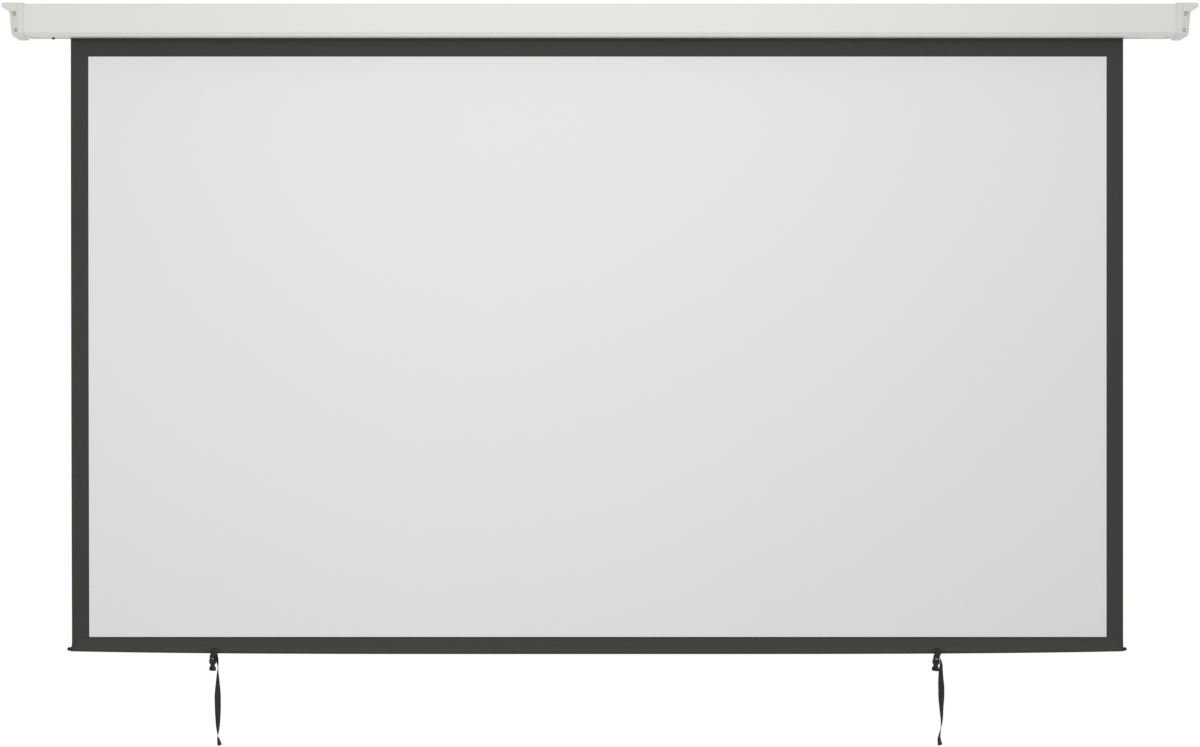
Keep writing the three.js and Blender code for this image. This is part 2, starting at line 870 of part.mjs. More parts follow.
// The fabric's first turns lie on the tube as a spiral that leaves it at the back.
function woundFabric() {
  const steps = Math.round(windTurns * 32);
  const side = (offset) =>
    Array.from({ length: steps + 1 }, (_, i) => {
      const angle = (2 * Math.PI * windTurns * i) / steps;
      const radius = windOuterRadius - (windPitch * angle) / (2 * Math.PI) + offset;
      return new THREE.Vector2(radius * Math.cos(angle), radius * Math.sin(angle));
    });
  const spiral = [...side(fabricThickness / 2), ...side(-fabricThickness / 2).reverse()];
  const roll = prismX(spiral, fabricShift - fabricWidth / 2, fabricShift + fabricWidth / 2);
  return piece("wound_fabric", roll, blackFabric);
}

// The spline lies in the tube's groove and locks the end of the fabric there.
function fabricSpline() {
  const height = rollerRadius - splineRadius;
  const rodShape = prismX(
    circle(splineRadius, 8, 0, height),
    fabricShift - fabricWidth / 2,
    fabricShift + fabricWidth / 2,
  );
  return piece("fabric_spline", rodShape, whitePlastic);
}

function crownRing() {
  const bore = circle(motorRadius + turningGap, 32);
  const tubeEnd = rollerMotorEnd;
  const collar = cut(
    prismX(insideRoller(), -tubeEnd - gap, -tubeEnd + crownLength),
    prismX(bore, -tubeEnd - overrun, -tubeEnd + crownLength + overrun),
  );
  const flange = prismX(
    circle(rollerRadius - gap, 32),
    -tubeEnd - gap - crownFlange,
    -tubeEnd - gap,
    [bore],
  );
  return piece("crown_ring", join(collar, flange), greyPlastic);
}

// A shaft's round section with one flat, grown by a clearance.
function flattedCircle(clearance) {
  const flat = shaftRadius - shaftFlat + clearance;
  return circle(shaftRadius + clearance, 24).map(
    (point) => new THREE.Vector2(point.x, Math.min(point.y, flat)),
  );
}

// The drive wheel sits on the motor's shaft and turns the roller tube by its key.
function driveWheel() {
  const end = motorEnd - motorBossLength - gap;
  const windows = [1, 3, 5, 7, 9, 11]
    .filter((step) => step !== 3)
    .map((step) => {
      const angle = (step * Math.PI) / 6;
      return circle(
        wheelWindowRadius,
        12,
        wheelWindowOffset * Math.cos(angle),
        wheelWindowOffset * Math.sin(angle),
      );
    });
  const wheel = prismX(insideRoller(), -end, -end + wheelLength, [
    flattedCircle(gap),
    ...windows,
  ]);
  return piece("drive_wheel", wheel, greyPlastic);
}

function motorShaft() {
  const start = motorEnd + shaftSocket;
  const shaft = prismX(flattedCircle(0), -start, -start + shaftLength);
  return piece("motor_shaft", shaft, zincSteel);
}

function idlerPlug() {
  const flangeStart = rollerIdlerEnd + gap;
  const flangeEnd = flangeStart + idlerFlange;
  const body = join(
    prismX(insideRoller(), rollerIdlerEnd - idlerPlugLength, flangeStart),
    prismX(circle(rollerRadius - gap, 32), flangeStart, flangeEnd),
  );
  const socket = prismX(
    circle(idlerPinRadius + gap, 16),
    flangeEnd - idlerPinSocket,
    flangeEnd + overrun,
  );
  return piece("idler_plug", cut(body, socket), greyPlastic);
}

function idlerPin() {
  const start = rollerIdlerEnd + gap + idlerFlange - idlerPinSocket + gap;
  const end = bracketReach + bracketThickness + idlerPinProud;
  const pin = turnedX(
    [
      [0, start],
      [idlerPinRadius, start],
      [idlerPinRadius, end - idlerPinChamfer],
      [idlerPinRadius - idlerPinChamfer, end],
      [0, end],
    ],
    16,
  );
  return piece("idler_pin", pin, nickelSteel);
}

// Everything that turns about the roller's axis.
function rollerGroup() {
  const group = new THREE.Group();
  group.position.y = rollerY;
  group.add(
    rollerTube(),
    woundFabric(),
    fabricSpline(),
    crownRing(),
    driveWheel(),
    motorShaft(),
    idlerPlug(),
    idlerPin(),
  );
  return group;
}

// The bush is held in the idler bracket, and its flange faces the roller.
function idlerBush() {
  const bore = idlerPinRadius + turningGap;
  const barrel = bore + bushWall;
  const flangeOuter = bracketReach - gap;
  const bush = turnedX(
    [
      [bore, flangeOuter - bushFlange],
      [barrel + bushFlangeRim, flangeOuter - bushFlange],
      [barrel + bushFlangeRim, flangeOuter],
      [barrel, flangeOuter],
      [barrel, bracketReach + bracketThickness + gap],
      [bore, bracketReach + bracketThickness + gap],
    ],
    24,
  );
  return piece("idler_bush", bush, bronze);
}

function limitScrewReach(index) {
  return bracketReach - gap - limitBlockLength / 2 + (index - 0.5) * limitScrewPitch;
}

// The motor's head is a drum with a square spigot and a block for the two limit screws.
function motorHead() {
  const outer = bracketReach - gap;
  const drum = turnedX(
    [
      [0, -outer],
      [motorHeadRadius - gap, -outer],
      [motorHeadRadius, -outer + gap],
      [motorHeadRadius, -motorHeadEnd],
      [0, -motorHeadEnd],
    ],
    32,
  );
  const half = motorSpigot / 2;
  const spigot = prismX(
    rectangle(-half, half, -half, half),
    -outer - motorSpigotLength,
    -outer + gap,
  );
  const blockY = fabricY - rollerY;
  const screwBlock = block(
    -outer,
    -outer + limitBlockLength,
    blockY - limitBlockWidth / 2,
    blockY + limitBlockWidth / 2,
    limitBlockBottom,
    0,
  );
  const wells = [0, 1].map((index) =>
    rod(limitScrewRadius + gap, limitBlockBottom - overrun, limitBlockBottom + limitScrewDepth)
      .translate(-limitScrewReach(index), blockY, 0),
  );
  const screwHoles = [-1, 1].map((way) =>
    rod(motorScrewShankRadius + gap, -overrun, motorScrewLength)
      .rotateY(Math.PI / 2)
      .translate(-outer, 0, way * motorScrewOffset),
  );
  const head = cut(join(drum, spigot, screwBlock), ...wells, ...screwHoles);
  return piece("motor_head", head, motorPaint);
}

function motorTube() {
  const start = motorHeadEnd - gap;
  const bore = shaftRadius + turningGap;
  const tube = turnedX(
    [
      [0, -start],
      [motorRadius, -start],
      [motorRadius, -motorEnd],
      [motorBossRadius, -motorEnd],
      [motorBossRadius, -motorEnd + motorBossLength],
      [bore, -motorEnd + motorBossLength],
      [bore, -motorEnd - shaftSocket - gap],
      [0, -motorEnd - shaftSocket - gap],
    ],
    32,
  );
  return piece("motor_tube", tube, motorPaint);
}

function motorScrew(name, way) {
  const screw = panScrew(
    motorScrewHeadRadius,
    motorScrewHeadHeight,
    motorScrewShankRadius,
    motorScrewLength,
  );
  screw.rotateY(-Math.PI / 2);
  screw.translate(-bracketReach - bracketThickness - gap, 0, way * motorScrewOffset);
  return piece(name, screw, zincSteel);
}

// A limit screw hangs in its well with a slotted end that faces down.
function limitScrew(name, index, material) {
  const bottom = limitBlockBottom - limitScrewProud;
  const body = rod(limitScrewRadius, bottom, limitBlockBottom + limitScrewDepth - gap, 20);
  const slot = block(
    -limitScrewRadius - overrun,
    limitScrewRadius + overrun,
    -limitSlotWidth / 2,
    limitSlotWidth / 2,
    bottom - overrun,
    bottom + limitSlotDepth,
  );
  const screw = cut(body, slot).translate(-limitScrewReach(index), fabricY - rollerY, 0);
  return piece(name, screw, material);
}

// The motor and its head stay still on the roller's axis while the roller turns round them.
function motorGroup() {
  const group = new THREE.Group();
  group.position.y = rollerY;
  group.add(
    motorHead(),
    motorTube(),
    motorScrew("motor_screw_upper", 1),
    motorScrew("motor_screw_lower", -1),
    limitScrew("limit_screw_up", 0, yellowPlastic),
    limitScrew("limit_screw_down", 1, redPlastic),
    idlerBush(),
  );
  return group;
}

function cableGland() {
  const face = casingBottom - gap;
  const inside = casingBottom + casingWall + gap;
  const gland = turned(
    [
      [glandBoreRadius, face - glandFlangeHeight - glandNeckLength],
      [glandNeckRadius - gap, face - glandFlangeHeight - glandNeckLength],
      [glandNeckRadius, face - glandFlangeHeight],
      [glandFlangeRadius, face - glandFlangeHeight],
      [glandFlangeRadius, face],
      [glandShankRadius, face],
      [glandShankRadius, inside],
      [glandFlangeRadius, inside],
      [glandFlangeRadius, inside + glandNutHeight],
      [glandBoreRadius, inside + glandNutHeight],
    ],
    16,
  ).translate(-glandReach, -glandSetback, 0);
  return piece("cable_gland", gland, blackPlastic);
}

// The flat fabric hangs from the roller to the hem's seam.
function screenFabric() {
  const sheet = block(
    fabricShift - fabricWidth / 2,
    fabricShift + fabricWidth / 2,
    fabricY - fabricThickness / 2,
    fabricY + fabricThickness / 2,
    hemSeam,
    -gap,
  );
  return piece("screen_fabric", sheet, whiteFabric);
}

// Height of the bar's axis. Its middle hangs lower than its ends.
function barHeight(x) {
  const share = (x - fabricShift) / (fabricWidth / 2);
  return barEndHeight - barSag * (1 - share ** 4);
}

// Sweeps an outline that changes along X. The outline is given in Y and Z.
function sweepAlongX(outlineAt, from, to, steps) {
  return sweep(
    Array.from({ length: steps + 1 }, (_, i) => {
      const x = from + ((to - from) * i) / steps;
      const place = new THREE.Matrix4().set(0, 0, 1, x, 1, 0, 0, 0, 0, 1, 0, 0, 0, 0, 0, 1);
      return { outline: outlineAt(x), place };
    }),
  );
}

function barRod(radius, from, to) {
  return sweepAlongX((x) => circle(radius, 12, fabricY, barHeight(x)), from, to, 20);
}

function weightBar() {
  const left = fabricShift - fabricWidth / 2;
  const right = fabricShift + fabricWidth / 2;
  const bar = cut(
    barRod(barRadius, left, right),
    barRod(barRadius - barWall, left - overrun, right + overrun),
  );
  return piece("weight_bar", bar, zincSteel);
}

// The hem is a fold of fabric: two layers below the seam that part round the bar.
function hemOutline(x) {
  const axis = barHeight(x);
  const strip = hemThickness + gap / 2;
  const belly = Array.from({ length: 13 }, (_, i) => {
    const angle = -Math.PI / 2 + bellyWrap * (i / 12 - 1 / 2);
    return new THREE.Vector2(
      fabricY + hemRadius * Math.cos(angle),
      axis + hemRadius * Math.sin(angle),
    );
  });
  return [
    new THREE.Vector2(fabricY + strip, hemSeam - gap),
    new THREE.Vector2(fabricY - strip, hemSeam - gap),
    new THREE.Vector2(fabricY - strip, axis + 2 * hemRadius),
    ...belly,
    new THREE.Vector2(fabricY + strip, axis + 2 * hemRadius),
  ];
}

function hemPocket() {
  const left = fabricShift - fabricWidth / 2;
  const right = fabricShift + fabricWidth / 2;
  const fold = sweepAlongX(hemOutline, left, right, 20);
  const channel = barRod(barRadius + gap, left - overrun, right + overrun);
  const notches = straps.map(({ at }) => {
    const axis = barHeight(at);
    return block(
      at - webbingWidth / 2 - notchGap,
      at + webbingWidth / 2 + notchGap,
      fabricY - hemRadius - overrun,
      fabricY + hemRadius + overrun,
      axis - hemRadius - overrun,
      axis + webbingRingRadius + webbingThickness / 2 + notchGap,
    );
  });
  return piece("hem_pocket", cut(fold, channel, ...notches), blackFabric);
}

// A plug closes each end of the bar, with a round button outside.
function barPlug(side, way) {
  const end = fabricShift + (way * fabricWidth) / 2;
  const stem = barRadius - barWall - gap;
  const middle = barPlugRound * barPlugRoundShare;
  const plug = turnedX(
    [
      [0, -barPlugStem],
      [stem, -barPlugStem],
      [stem, gap],
      [barPlugRadius, gap],
      [barPlugRadius, barPlugLength - barPlugRound],
      [barPlugRadius - middle, barPlugLength - middle],
      [barPlugRadius - barPlugRound, barPlugLength],
      [0, barPlugLength],
    ],
    16,
  );
  const mesh = piece("bar_plug_" + side, plug, blackPlastic);
  mesh.position.set(end, fabricY, barHeight(end));
  mesh.rotation.z = way > 0 ? 0 : Math.PI;
  return mesh;
}

// The frame of a closed buckle: its origin is the middle of the socket's top edge.
function buckleFrame({ at, buckleShift, buckleTurn, buckleLean, buckleForward }) {
  const frame = new THREE.Group();
  const drop = hemRadius + hookRise + webbingThickness + gap;
  frame.position.set(at + buckleShift, fabricY - buckleForward, barHeight(at) - drop);
  frame.rotation.order = "YZX";
  frame.rotation.y = THREE.MathUtils.degToRad(buckleLean);
  frame.rotation.z = THREE.MathUtils.degToRad(buckleTurn);
  frame.updateMatrixWorld(true);
  return frame;
}

// The socket holds the webbing on its top bar. Its cavity opens below and through two windows.
function buckleSocket(side) {
  const half = buckleWidth / 2;
  const halfTop = buckleTopWidth / 2;
  const halfDepth = buckleThickness / 2;
  const front = prismY(
    rounded([
      [-halfTop, 0, plugFootRadius],
      [-half, -socketShoulder, plugFootRadius],
      [-half + socketSideWall, -socketLength, socketSideWall / 2],
      [half - socketSideWall, -socketLength, socketSideWall / 2],
      [half, -socketShoulder, plugFootRadius],
      [halfTop, 0, plugFootRadius],
    ]),
    -halfDepth,
    halfDepth,
  );
  const barHalf = socketBarThickness / 2;
  const profile = prismX(
    rounded([
      [-barHalf, 0, barHalf / 2],
      [-barHalf, -socketBarHeight - socketSlotHeight / 2],
      [-halfDepth, -socketCavityTop, socketSideWall / 2],
      [-halfDepth, -socketLength, socketSideWall / 2],
      [halfDepth, -socketLength, socketSideWall / 2],
      [halfDepth, -socketCavityTop, socketSideWall / 2],
      [barHalf, -socketBarHeight - socketSlotHeight / 2],
      [barHalf, 0, barHalf / 2],
    ]),
    -half,
    half,
  );
  const slotHalf = webbingWidth / 2 + gap;
  const slot = block(
    -slotHalf,
    slotHalf,
    -halfDepth - overrun,
    halfDepth + overrun,
    -socketBarHeight - socketSlotHeight,
    -socketBarHeight,
  );
  const cavityHalf = half - socketSideWall;
  const depthHalf = socketCavityThickness / 2;
  const cavity = block(
    -cavityHalf,
    cavityHalf,
    -depthHalf,
    depthHalf,
    -socketLength - overrun,
    -socketCavityTop,
  );
  const windows = block(
    -half - overrun,
    half + overrun,
    -depthHalf,
    depthHalf,
    -windowBottom,
    -windowTop,
  );
  const socket = cut(overlapOf(front, profile), slot, cavity, windows);
  return piece("buckle_" + side + "_socket", socket, blackPlastic);
}

// The plug has a ladder foot with two leaning slots, a stem, and a guide that enters the socket.
function bucklePlug(side) {
  const half = buckleWidth / 2;
  const footTop = -plugLength + plugFootHeight;
  const footHalf = plugFootThickness / 2;
  const foot = prismY(
    rounded([
      [-half, -plugLength, plugFootRadius],
      [half, -plugLength, plugFootRadius],
      [half, footTop, plugFootRadius],
      [-half, footTop, plugFootRadius],
    ]),
    -footHalf,
    footHalf,
  );
  const stemTop = -socketLength - gap;
  const stemHalf = plugStemThickness / 2;
  const stem = prismY(
    rounded([
      [-plugStemWidth / 2, footTop - plugBarHeight / 2],
      [plugStemWidth / 2, footTop - plugBarHeight / 2],
      [plugStemWidth / 2, stemTop - plugShoulderHeight],
      [plugShoulderWidth / 2, stemTop - plugShoulderHeight],
      [plugShoulderWidth / 2, stemTop],
      [-plugShoulderWidth / 2, stemTop],
      [-plugShoulderWidth / 2, stemTop - plugShoulderHeight],
      [-plugStemWidth / 2, stemTop - plugShoulderHeight],
    ]),
    -stemHalf,
    stemHalf,
  );
  const guideHalf = socketCavityThickness / 2 - gap;
  const guide = prismY(
    rounded([
      [-guideWidth / 2, stemTop - gap],
      [guideWidth / 2, stemTop - gap],
      [guideWidth / 2, -guideTop, guideWidth / 4],
      [-guideWidth / 2, -guideTop, guideWidth / 4],
    ]),
    -guideHalf,
    guideHalf,
  );
  const slotHalf = webbingWidth / 2 + gap;
  const slots = [0, 1].map((index) => {
    const top = footTop - plugBarHeight - index * (plugSlotHeight + plugBarHeight);
    const reach = footHalf + plugSlotHeight;
    return block(-slotHalf, slotHalf, -reach, reach, -plugSlotHeight / 2, plugSlotHeight / 2)
      .rotateX(THREE.MathUtils.degToRad(plugSlotLean))
      .translate(0, 0, top - plugSlotHeight / 2);
  });
  return piece("buckle_" + side + "_plug", cut(join(foot, stem, guide), ...slots), blackPlastic);
}

// A prong springs outward, and its shoulder catches in the socket's window.
function buckleProng(side, label, way) {
  const bottom = -socketLength;
  const inner = guideWidth / 2 + prongThickness;
  const wall = buckleWidth / 2 - socketSideWall - gap;
  const shoulder = buckleWidth / 2 + prongProud;
  const halfDepth = socketCavityThickness / 2 - gap;
  const outline = [
    [inner, bottom],
    [wall - gap, bottom],
    [wall, -windowBottom + gap],
    [shoulder, -windowBottom + gap],
    [shoulder, (-windowBottom - windowTop) / 2],
    [wall, -windowTop - gap],
    [wall - gap, -guideTop],
    [inner + prongThickness / 2, -guideTop],
    [inner, -windowTop - gap],
  ].map(([across, height]) => new THREE.Vector2(way * across, height));
  const prong = prismY(outline, -halfDepth, halfDepth);
  return piece("buckle_" + side + "_prong_" + label, prong, blackPlastic);
}

// Direction across the webbing after a turn about Z, in degrees.
function acrossAt(degrees) {
  const turn = THREE.MathUtils.degToRad(degrees);
  return new THREE.Vector3(Math.cos(turn), Math.sin(turn), 0);
}

// Webbing from its hook on the socket's top bar, up the front and over the bar to the back.
function strapLoop(spec, frame) {
  const axis = barHeight(spec.at);
  const reach = socketBarThickness / 2 + gap + webbingThickness / 2;
  const low = -socketBarHeight + gap;
  const buckleAcross = acrossAt(spec.buckleTurn);
  const hook = [
    [reach, hookRise - 2 * gap],
    [reach, low],
    ...[1, 2, 3, 4, 5].map((step) => {
      const angle = (step * Math.PI) / 6;
      return [reach * Math.cos(angle), low - reach * Math.sin(angle)];
    }),
    [-reach, low],
    [-reach, webbingThickness],
  ].map(([y, z]) => ({
    at: frame.localToWorld(new THREE.Vector3(0, y, z)),
    across: buckleAcross,
    thickness: webbingThickness,
  }));
  const legTop = {
    at: new THREE.Vector3(spec.at, fabricY - webbingRingRadius - legForward, axis - legDrop),
    across: acrossAt(0),
    thickness: webbingThickness,
  };
  const legMiddle = {
    at: hook.at(-1).at.clone().lerp(legTop.at, 0.5),
    across: acrossAt(spec.buckleTurn * legTurnShare),
    thickness: webbingThickness,
  };
  const ring = Array.from({ length: 9 }, (_, i) => {
    const angle = Math.PI - (Math.PI * i) / 8;
    return {
      at: new THREE.Vector3(
        spec.at,
        fabricY + webbingRingRadius * Math.cos(angle),
        axis + webbingRingRadius * Math.sin(angle),
      ),
      across: acrossAt(0),
      thickness: webbingThickness,
    };
  });
  const end = {
    at: new THREE.Vector3(spec.at, fabricY + webbingRingRadius, axis - tailStart),
    across: acrossAt(0),
    thickness: webbingThickness,
  };
  const loop = ribbon([...hook, legMiddle, legTop, ...ring, end], webbingWidth);
  return piece("strap_" + spec.side + "_loop", loop, blackWebbing);
}

// The free end of the webbing hangs and twists. Its last stretch is folded over and sewn.
function strapTail(spec) {
  const axis = barHeight(spec.at);
  const start = tailStart + gap;
  const turns = [[0, start, 0], [0, start + gap, 0], ...spec.route];
  const settle = spec.route[settleIndex][1];
  const centres = new THREE.CatmullRomCurve3(
    turns.map(([across, drop]) => {
      const share = THREE.MathUtils.clamp((settle - drop) / (settle - legDrop), 0, 1);
      return new THREE.Vector3(spec.at + across, fabricY + webbingRingRadius * share, axis - drop);
    }),
  );
  const last = turns.length - 1;
  const hemTop = spec.route.at(-1)[1] - sewnHemLength;
  const stations = turns.slice(1).flatMap(([, drop, turn], i) => {
    const [, dropBefore, turnBefore] = turns[i];
    const steps = Math.max(1, Math.round((drop - dropBefore) / tailStep));
    const first = i === 0 ? 0 : 1;
    return Array.from({ length: steps + 1 - first }, (_, k) => {
      const share = (k + first) / steps;
      const at = centres.getPoint((i + share) / last);
      return {
        at,
        across: acrossAt(turnBefore + (turn - turnBefore) * share),
        thickness: axis - at.z > hemTop ? sewnHemThickness : webbingThickness,
      };
    });
  });
  const tail = ribbon(stations, webbingWidth);
  return piece("strap_" + spec.side + "_tail", tail, blackWebbing);
}

function strapGroup(spec) {
  const group = new THREE.Group();
  const frame = buckleFrame(spec);
  frame.add(
    buckleSocket(spec.side),
    bucklePlug(spec.side),
    buckleProng(spec.side, "left", -1),
    buckleProng(spec.side, "right", 1),
  );
  group.add(frame, strapLoop(spec, frame), strapTail(spec));
  return group;
}

const screen = new THREE.Group();
screen.add(
  casing(),
  endGroup("left", -1, motorBracket()),
  endGroup("right", 1, idlerBracket()),
  cableGland(),
  motorGroup(),
  rollerGroup(),
  screenFabric(),
  weightBar(),
  hemPocket(),
  barPlug("left", -1),
  barPlug("right", 1),
  ...straps.map(strapGroup),
);

export default screen;
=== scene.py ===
import math

import bmesh
import bpy
from mathutils import Matrix, Vector


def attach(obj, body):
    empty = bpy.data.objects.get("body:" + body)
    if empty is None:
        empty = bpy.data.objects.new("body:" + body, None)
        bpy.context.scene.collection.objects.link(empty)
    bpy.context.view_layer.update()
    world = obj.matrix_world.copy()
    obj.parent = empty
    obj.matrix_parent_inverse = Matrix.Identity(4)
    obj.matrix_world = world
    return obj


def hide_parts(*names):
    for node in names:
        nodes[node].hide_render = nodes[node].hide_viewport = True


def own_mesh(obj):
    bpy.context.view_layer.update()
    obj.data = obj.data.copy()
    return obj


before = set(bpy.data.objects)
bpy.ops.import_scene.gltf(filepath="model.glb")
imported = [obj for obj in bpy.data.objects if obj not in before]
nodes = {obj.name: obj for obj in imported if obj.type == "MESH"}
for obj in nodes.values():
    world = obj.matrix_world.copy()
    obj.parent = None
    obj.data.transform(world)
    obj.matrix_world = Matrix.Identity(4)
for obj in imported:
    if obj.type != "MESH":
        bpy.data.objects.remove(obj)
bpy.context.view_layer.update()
print("CAD nodes:", len(nodes))

# %% [markdown]
# # A motorized projector screen
# The metal and plastic parts come from the CAD model.
# The cloth, the webbing and the small stitches are made here, because they bend.
# Everything is in metres: X runs along the casing, Y goes towards the wall, and Z is up.

# %% The sizes that this scene shares with the CAD source
MM = 0.001
CASING_BOTTOM = -35 * MM
FABRIC_Y = -16.76 * MM
FABRIC_SHIFT = -6.6 * MM
FABRIC_WIDTH = 2286.4 * MM
FABRIC_THICKNESS = 0.4 * MM
FABRIC_TOP = -0.3 * MM
VIEW_WIDTH = 2214 * MM
VIEW_TOP = CASING_BOTTOM - 36.7 * MM
VIEW_BOTTOM = VIEW_TOP - 1263.5 * MM
HEM_SEAM = VIEW_BOTTOM - 7.6 * MM
BAR_END_HEIGHT = HEM_SEAM - 18.7 * MM
BAR_SAG = 6 * MM
BAR_RADIUS = 4.5 * MM
HEM_RADIUS = 5.25 * MM
GAP = 0.3 * MM
WEBBING_WIDTH = 13.5 * MM
WEBBING_THICKNESS = 1.2 * MM
fabric_left = FABRIC_SHIFT - FABRIC_WIDTH / 2
fabric_right = FABRIC_SHIFT + FABRIC_WIDTH / 2
print("fabric from", round(fabric_left, 4), "to", round(fabric_right, 4))

# %% [markdown]
# ## Camera
# A long lens stands eight metres away, level with the middle of the whole object.
# From there the casing's front is seen square on, with a narrow strip of its underside.

# %% Camera
CAMERA_HEIGHT = -763 * MM
CAMERA_DISTANCE = 8.0
SENSOR_WIDTH = 36.0
SEEN_WIDTH = 2.6072
TOWARDS_WALL = (math.radians(90), 0, 0)
lens = bpy.data.cameras.new("camera")
lens.sensor_width = SENSOR_WIDTH
lens.lens = SENSOR_WIDTH * CAMERA_DISTANCE / SEEN_WIDTH
camera = bpy.data.objects.new("camera", lens)
camera.location = (0, FABRIC_Y - CAMERA_DISTANCE, CAMERA_HEIGHT)
camera.rotation_euler = TOWARDS_WALL
bpy.context.scene.collection.objects.link(camera)
bpy.context.scene.camera = camera
print("lens of", round(lens.lens, 1), "mm")

# %% [markdown]
# ## A short way to write shaders
# A material is a chain of nodes, and long chains are hard to read as code.
# `Value` wraps one socket, so that `2 * noise - 1` makes the two Math nodes that it names.
# `Shader` makes any other node in one line, from its type, its settings and its sockets.

# %% Shader helpers
def feed(tree, socket, value):
    if isinstance(value, Value):
        tree.links.new(value.socket, socket)
    elif value is not None:
        socket.default_value = value


class Value:
    """A socket that can stand in a sum. Each operation adds one Math node."""

    def __init__(self, tree, socket):
        self.tree = tree
        self.socket = socket

    def maths(self, operation, first, second=None):
        node = self.tree.nodes.new("ShaderNodeMath")
        node.operation = operation
        feed(self.tree, node.inputs[0], first)
        feed(self.tree, node.inputs[1], second)
        return Value(self.tree, node.outputs[0])

    def __add__(self, other):
        return self.maths("ADD", self, other)

    def __radd__(self, other):
        return self.maths("ADD", other, self)

    def __sub__(self, other):
        return self.maths("SUBTRACT", self, other)

    def __rsub__(self, other):
        return self.maths("SUBTRACT", other, self)

    def __mul__(self, other):
        return self.maths("MULTIPLY", self, other)

    def __rmul__(self, other):
        return self.maths("MULTIPLY", other, self)

    def __truediv__(self, other):
        return self.maths("DIVIDE", self, other)

    def __rtruediv__(self, other):
        return self.maths("DIVIDE", other, self)

    def __abs__(self):
        return self.maths("ABSOLUTE", self)

    def sine(self):
        return self.maths("SINE", self)

    def floor(self):
        return self.maths("FLOOR", self)


class Shader:
    """The node tree of a material or of the world."""

    def __init__(self, owner):
        owner.use_nodes = True
        self.owner = owner
        self.tree = owner.node_tree

    def node(self, kind, settings=None, sockets=None, out=0):
        made = self.tree.nodes.new(kind)
        for name, value in (settings or {}).items():
            setattr(made, name, value)
        for name, value in (sockets or {}).items():
            feed(self.tree, made.inputs[name], value)
        return Value(self.tree, made.outputs[out])

    def set(self, node_name, sockets):
        for name, value in sockets.items():
            feed(self.tree, self.tree.nodes[node_name].inputs[name], value)


print("shader helpers ready")

# %% [markdown]
# ## Patterns that many finishes share
# Real surfaces are never quite even.
# Paint has a fine orange peel, and moulded plastic has a soft grain.
# These helpers give a noise from 0 to 1, a mix of two colours, a bump, and a mask for edges, where the
# finishes paint a highlight.

# %% Shared patterns
MIX_COLOUR_A = 6
MIX_COLOUR_B = 7
MIX_COLOUR_OUT = 2
EDGE_HIGHLIGHT_SAMPLES = 4
EDGE_HIGHLIGHT_RANGE = (0.02, 0.25)


def material(name):
    return Shader(bpy.data.materials.new(name))


def place(shader, kind="Object"):
    return shader.node("ShaderNodeTexCoord", out=kind)


def stretched(shader, point, factors):
    return shader.node(
        "ShaderNodeVectorMath", {"operation": "MULTIPLY"}, {0: point, 1: factors}
    )


def noise(shader, point, per_metre, detail):
    sockets = {"Vector": point, "Scale": per_metre, "Detail": detail}
    return shader.node("ShaderNodeTexNoise", None, sockets, out="Fac")


def blend(shader, factor, dark, light):
    dark, light = (c if isinstance(c, Value) else (*c, 1) for c in (dark, light))
    sockets = {0: factor, MIX_COLOUR_A: dark, MIX_COLOUR_B: light}
    return shader.node("ShaderNodeMix", {"data_type": "RGBA"}, sockets, MIX_COLOUR_OUT)


def bump(shader, height, depth):
    sockets = {"Height": height, "Distance": depth}
    return shader.node("ShaderNodeBump", None, sockets, out="Normal")


def smooth_step(shader, value, low, high):
    settings = {"interpolation_type": "SMOOTHSTEP"}
    sockets = {"Value": value, "From Min": low, "From Max": high}
    return shader.node("ShaderNodeMapRange", settings, sockets)


# The finishes below use this mask to paint a highlight along edges.
def edge_highlight_mask(shader, radius):
    """Near 1 on a sharp edge: there a rounded normal leans away from the true one."""
    rounded = shader.node("ShaderNodeBevel", {"samples": EDGE_HIGHLIGHT_SAMPLES}, {"Radius": radius})
    true = shader.node("ShaderNodeNewGeometry", out="Normal")
    same = shader.node(
        "ShaderNodeVectorMath", {"operation": "DOT_PRODUCT"}, {0: rounded, 1: true}, "Value"
    )
    return smooth_step(shader, 1 - same, *EDGE_HIGHLIGHT_RANGE)


def shade(colour, factor):
    return tuple(c * factor for c in colour)


print("patterns ready")

# %% [markdown]
# ## Webbing
# Strap webbing is woven from thick cords that run along it, held by thin threads across.
# The cords show as fine ribs, and each rib is broken up where the cross threads pass over it.
# The texture coordinates are laid along the strap, so the ribs follow each of its twists.

# %% Black webbing
BLACK_WEBBING = (0.042, 0.0415, 0.041)
RIB_PITCH = 0.95 * MM
THREAD_PITCH = 1.3 * MM
SELVEDGE = 5.6 * MM
FUZZ_PER_METRE = 900
STRAND_PER_METRE = 3500
THREAD_DARK = (0.018, 0.018, 0.019)
THREAD_LIGHT = (0.04, 0.04, 0.042)


def ribs(shader, across, along):
    rib = across / RIB_PITCH
    lift = abs((rib * math.pi).sine())
    row = rib.floor() * math.pi
    return lift * (0.62 + 0.38 * (along * (2 * math.pi / THREAD_PITCH) + row).sine())


def black_webbing():
    shader = material("black_webbing")
    uv = place(shader, "UV")
    across = shader.node("ShaderNodeSeparateXYZ", None, {0: uv}, out="X")
    along = shader.node("ShaderNodeSeparateXYZ", None, {0: uv}, out="Y")
    height = ribs(shader, across, along)
    edge = smooth_step(shader, abs(across), SELVEDGE, WEBBING_WIDTH / 2)
    fuzz = noise(shader, place(shader), FUZZ_PER_METRE, 4)
    tone = 0.35 * height + 0.45 * fuzz + 0.2 * edge
    colour = blend(shader, tone, shade(BLACK_WEBBING, 0.55), shade(BLACK_WEBBING, 1.7))
    shader.set(
        "Principled BSDF",
        {
            "Base Color": colour,
            "Roughness": 0.7 + 0.2 * fuzz,
            "Specular IOR Level": 0.06,
            "Normal": bump(shader, height + 0.3 * fuzz, 0.25 * MM),
        },
    )
    return shader.owner


